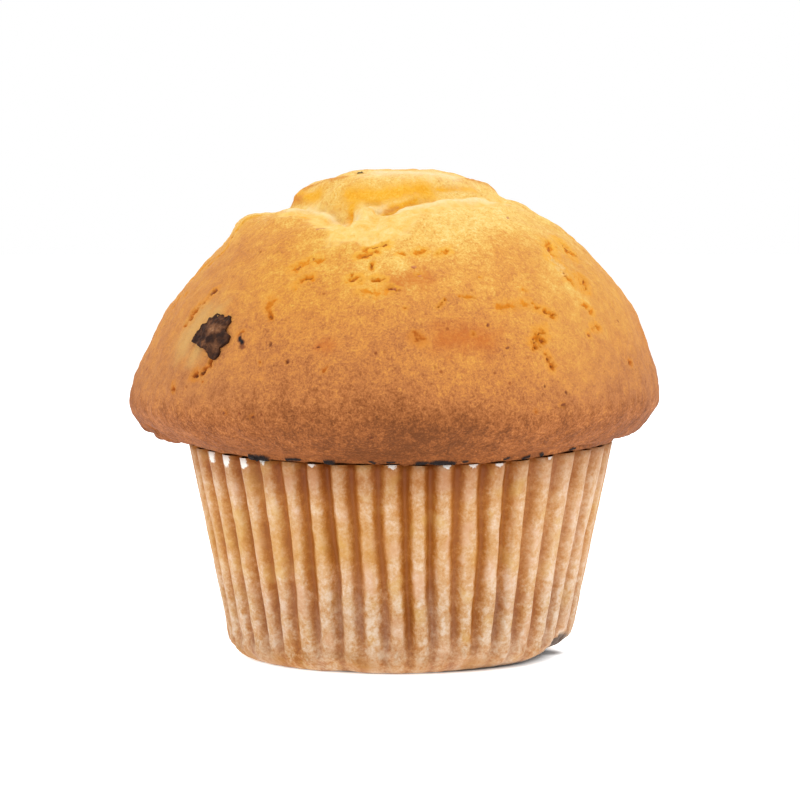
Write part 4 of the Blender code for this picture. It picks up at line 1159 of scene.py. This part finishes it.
chunks = []
for side in ("left", "crown", "back", "right"):
    node = "chocolate_chunk_" + side
    piece = copyOfNode(node, node + "_broken")
    finishWith(piece, "BEVEL", width=chunk["bevel"], segments=2, limit_method="ANGLE")
    finishWith(piece, "REMESH", mode="VOXEL", voxel_size=chunk["voxel"])
    if side == "left":
        trimToEdge(piece)
    points = pointsOf(piece)
    shift = chunk["ragged"] * grain(points, chunk["raggedSize"], 5) + 0.00008 * grain(points, 0.0003, 6)
    movePoints(piece, points + normalsOf(piece) * shift[:, None])
    finishWith(piece, "SMOOTH", factor=0.3, iterations=1)
    fromMiddle = np.linalg.norm(points - points.mean(axis=0), axis=1)
    # Painted highlight: each piece lighter towards its middle
    rubbed = swell(fromMiddle, 0.0025) * (0.65 + grain(points, 0.0016, 12))
    keepValues(piece, {"rubbed": rubbed})
    smoothShade(piece)
    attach(piece, "root")
    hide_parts(node)
    chunks.append(piece)
print("chocolate is broken")


# finishes

sponge = Paint("baked crust")
grit = sponge.cloud(5200.0, 1.0, 0.6)
fine = sponge.cloud(2900.0, 2.0, 0.65)
speckle = sponge.cloud(1500.0, 2.0, 0.6)
patch = sponge.cloud(480.0, 3.0, 0.6)
wide = sponge.cloud(120.0, 3.0, 0.55)
bake = sponge.read("bake")
grainy = (grit - 0.5) * 0.40 + (fine - 0.5) * 0.60 + (speckle - 0.5) * 0.42
calm = 1 - sponge.read("dull") * 0.5  # the flanks are less grainy
browned = bake * 0.9 + grainy * calm * 0.80 + (patch - 0.5) * 0.30 + (wide - 0.5) * 0.20
sponge.colour = sponge.ramp(
    browned + sponge.read("red") * 0.04 - sponge.read("yellow") * 0.10,
    (0.0, (0.89, 0.69, 0.29)),
    (0.18, (0.83, 0.54, 0.135)),
    (0.36, (0.73, 0.34, 0.062)),
    (0.52, (0.61, 0.238, 0.052)),
    (0.665, (0.46, 0.163, 0.046)),
    (0.79, (0.315, 0.099, 0.024)),
    (0.9, (0.210, 0.063, 0.015)),
    (1.0, (0.14, 0.041, 0.009)),
)
# painted sheen: the flanks at the front are made greyer and lighter
sponge.coat("dull", (0.98, 1.04, 1.15), "MULTIPLY")
sponge.coat("rich", (0.97, 0.94, 0.74), "MULTIPLY")
sponge.coat(sponge.read("red") * (0.25 + speckle * 0.8), (0.55, 0.145, 0.018))
crumbColour = sponge.ramp(
    sponge.cloud(620.0, 4.0, 0.65) + (fine - 0.5) * 0.35,
    (0.25, (0.82, 0.43, 0.065)),
    (0.42, (0.86, 0.54, 0.13)),
    (0.58, (0.87, 0.61, 0.20)),
    (0.8, (0.88, 0.70, 0.34)),
)
sponge.coat("crumb", crumbColour)
golden = sponge.ramp(
    fine * 0.6 + patch * 0.4,
    (0.3, (0.78, 0.31, 0.012)),
    (0.5, (0.84, 0.41, 0.024)),
    (0.7, (0.88, 0.54, 0.08)),
)
# Painted glow of light bounced in the recesses and marks, over the torn crumb's own golden colour
sponge.coat(sponge.read("glow") * (0.62 + patch), golden)
sponge.coat(sponge.read("cream") * (0.1 + speckle * 0.9), (0.90, 0.77, 0.47))
sponge.coat(sponge.read("toast") * (0.4 + speckle), (0.66, 0.27, 0.050))
haloColour = sponge.ramp(
    bake, (0.3, (0.84, 0.44, 0.045)), (0.55, (0.71, 0.275, 0.032)), (0.85, (0.50, 0.165, 0.026))
)
sponge.coat(sponge.read("halo") * (0.25 + speckle * 0.95), haloColour)
sponge.coat(sponge.read("paleZone") * (0.38 + fine * 0.6), (0.60, 0.36, 0.12))
sponge.coat(sponge.read("pale") * 0.9, (0.90, 0.66, 0.27))
# Inside the marks, darker where the crust round them is
deepBake = sponge.between(bake, 0.42, 0.66)
ragged = (fine - 0.5) * 0.9 + (speckle - 0.5) * 0.7
inside = sponge.blend(deepBake, (0.74, 0.265, 0.012), (0.47, 0.122, 0.010))
sponge.coat(sponge.between(sponge.read("pit") + ragged * 0.8, 0.06, 0.80), inside)
# painted shade: the middle of the deeper marks is near black
inside = sponge.blend(deepBake, (0.40, 0.110, 0.010), (0.14, 0.036, 0.008))
sponge.coat(sponge.between(sponge.read("core") + ragged, 0.25, 0.80) * 0.85, inside)
# Pinpricks, in some cells only
pinprick = sponge.between(sponge.cells(430.0, "Distance"), 0.16, 0.06)
pinprick = pinprick * sponge.between(sponge.cells(430.0, "Color"), 0.62, 0.66)
pinprick = pinprick * sponge.between(bake, 0.30, 0.50) * (1 - sponge.read("crumb"))
sponge.coat(pinprick * 0.8, (0.60, 0.42, 0.36), "MULTIPLY")
# Small dark spots, each cut as a shallow hole: painted shade in it
pitShadeColour = sponge.blend(deepBake, (0.56, 0.20, 0.095), (0.20, 0.055, 0.022))
sponge.coat(sponge.read("spot") * 0.85, pitShadeColour)
sponge.coat("fleck", (0.014, 0.009, 0.009))
skin = sponge.relief(
    (patch, 0.30, 0.0008), (speckle, 0.50, 0.0004), (fine, 0.60, 0.00022), (grit, 0.30, 0.00010)
)
wear(cake, sponge.finish(roughness=0.66 + fine * 0.14, normal=skin, specular=0.18))

paper = Paint("greased baking paper")
ridge = paper.read("ridge")
dryFoot = paper.read("dryFoot")
fatBand = paper.read("fatBand")
footShade = paper.read("footShade")
fibres = paper.cloud(4300.0, 1.0, 0.6)
flour = paper.cloud(2300.0, 2.0, 0.65)
mottle = paper.cloud(900.0, 3.0, 0.6)
blotch = paper.cloud(330.0, 3.0, 0.6)
warmth = paper.cloud(240.0, 2.0, 0.5)
# How dry the paper is, with painted light in the side valleys and painted shadow under the lip at the
# front added in
drynessAndPaintedLight = ridge * 0.66 + (fibres - 0.5) * 0.26 + (flour - 0.5) * 0.50
drynessAndPaintedLight = drynessAndPaintedLight + (mottle - 0.5) * 0.52 + (blotch - 0.5) * 0.62
drynessAndPaintedLight = drynessAndPaintedLight + footShade * ((mottle - 0.5) * 0.45 + (flour - 0.5) * 0.45)
drynessAndPaintedLight = drynessAndPaintedLight + paper.read("lightSides") * (1 - ridge) * 0.20 + dryFoot * 0.03
# less dry under the lip at the front: a painted shadow
drynessAndPaintedLight = drynessAndPaintedLight - fatBand * 0.14 - paper.read("fatRim") * 0.10
paper.colour = paper.ramp(
    drynessAndPaintedLight,
    (0.0, (0.33, 0.098, 0.007)),
    (0.22, (0.42, 0.148, 0.016)),
    (0.42, (0.52, 0.232, 0.058)),
    (0.62, (0.60, 0.340, 0.150)),
    (0.82, (0.69, 0.465, 0.285)),
    (1.0, (0.80, 0.63, 0.475)),
)
ochre = paper.between(warmth, 0.46, 0.32) * (1 - dryFoot)
paper.coat(ochre * (0.15 + ridge * 0.4), (0.64, 0.385, 0.105))
pink = paper.between(warmth, 0.53, 0.68) * ridge * ridge
paper.coat(pink * 0.5, (0.70, 0.43, 0.29))
dusty = dryFoot + paper.read("dryRight") * 0.45
paper.coat(dusty * (flour * 0.6 + mottle * 1.4 - 0.55), (0.70, 0.555, 0.45))
white = flour * 0.22 + mottle * 0.45 + blotch * 0.33 + (ridge - 0.5) * 0.06
white = paper.between(white, 0.48, 0.68) * (0.22 + paper.read("low") * 0.32)
paper.coat(white * (0.15 + ridge * 0.85), (0.78, 0.66, 0.55))
paper.coat(fatBand * ridge * 0.40, (0.60, 0.32, 0.070))
paper.coat(paper.read("fatFoot") * (0.1 + mottle), (0.50, 0.22, 0.030))
# painted shade under the lip
paper.coat("shade", (0.72, 0.58, 0.44), "MULTIPLY")
paper.coat(footShade, (0.79, 0.77, 0.70), "MULTIPLY")
whiteTip = paper.read("dryTip") + (flour - 0.5) * 0.8 + (mottle - 0.5) * 0.6
paper.coat(paper.between(whiteTip, 0.38, 0.62), (0.88, 0.84, 0.78))
# painted shade under the foot and in its hollow, nearly black
paper.coat("under", (0.045, 0.024, 0.014))
skin = paper.relief((mottle, 0.40, 0.00025), (flour, 0.45, 0.00012))
wear(paperCase, paper.finish(roughness=0.46 + mottle * 0.22, normal=skin, specular=0.35))

choc = Paint("dark chocolate")
bloom = choc.cloud(1100.0, 3.0, 0.65)
# Lighter towards each piece's middle, a painted highlight
choc.colour = choc.ramp(
    (bloom - 0.5) * 1.3 + 0.04 + choc.read("rubbed") * 0.75,
    (0.0, (0.024, 0.008, 0.004)),
    (0.25, (0.066, 0.023, 0.009)),
    (0.55, (0.19, 0.077, 0.032)),
    (0.9, (0.42, 0.21, 0.095)),
)
skin = choc.relief((bloom, 0.6, 0.0003))
chocolate = choc.finish(roughness=0.55 + bloom * 0.2, normal=skin, specular=0.15)
for piece in chunks:
    wear(piece, chocolate)

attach(cake, "root")
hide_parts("cake")
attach(paperCase, "root")
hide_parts("paper_case")
print("finishes are on")
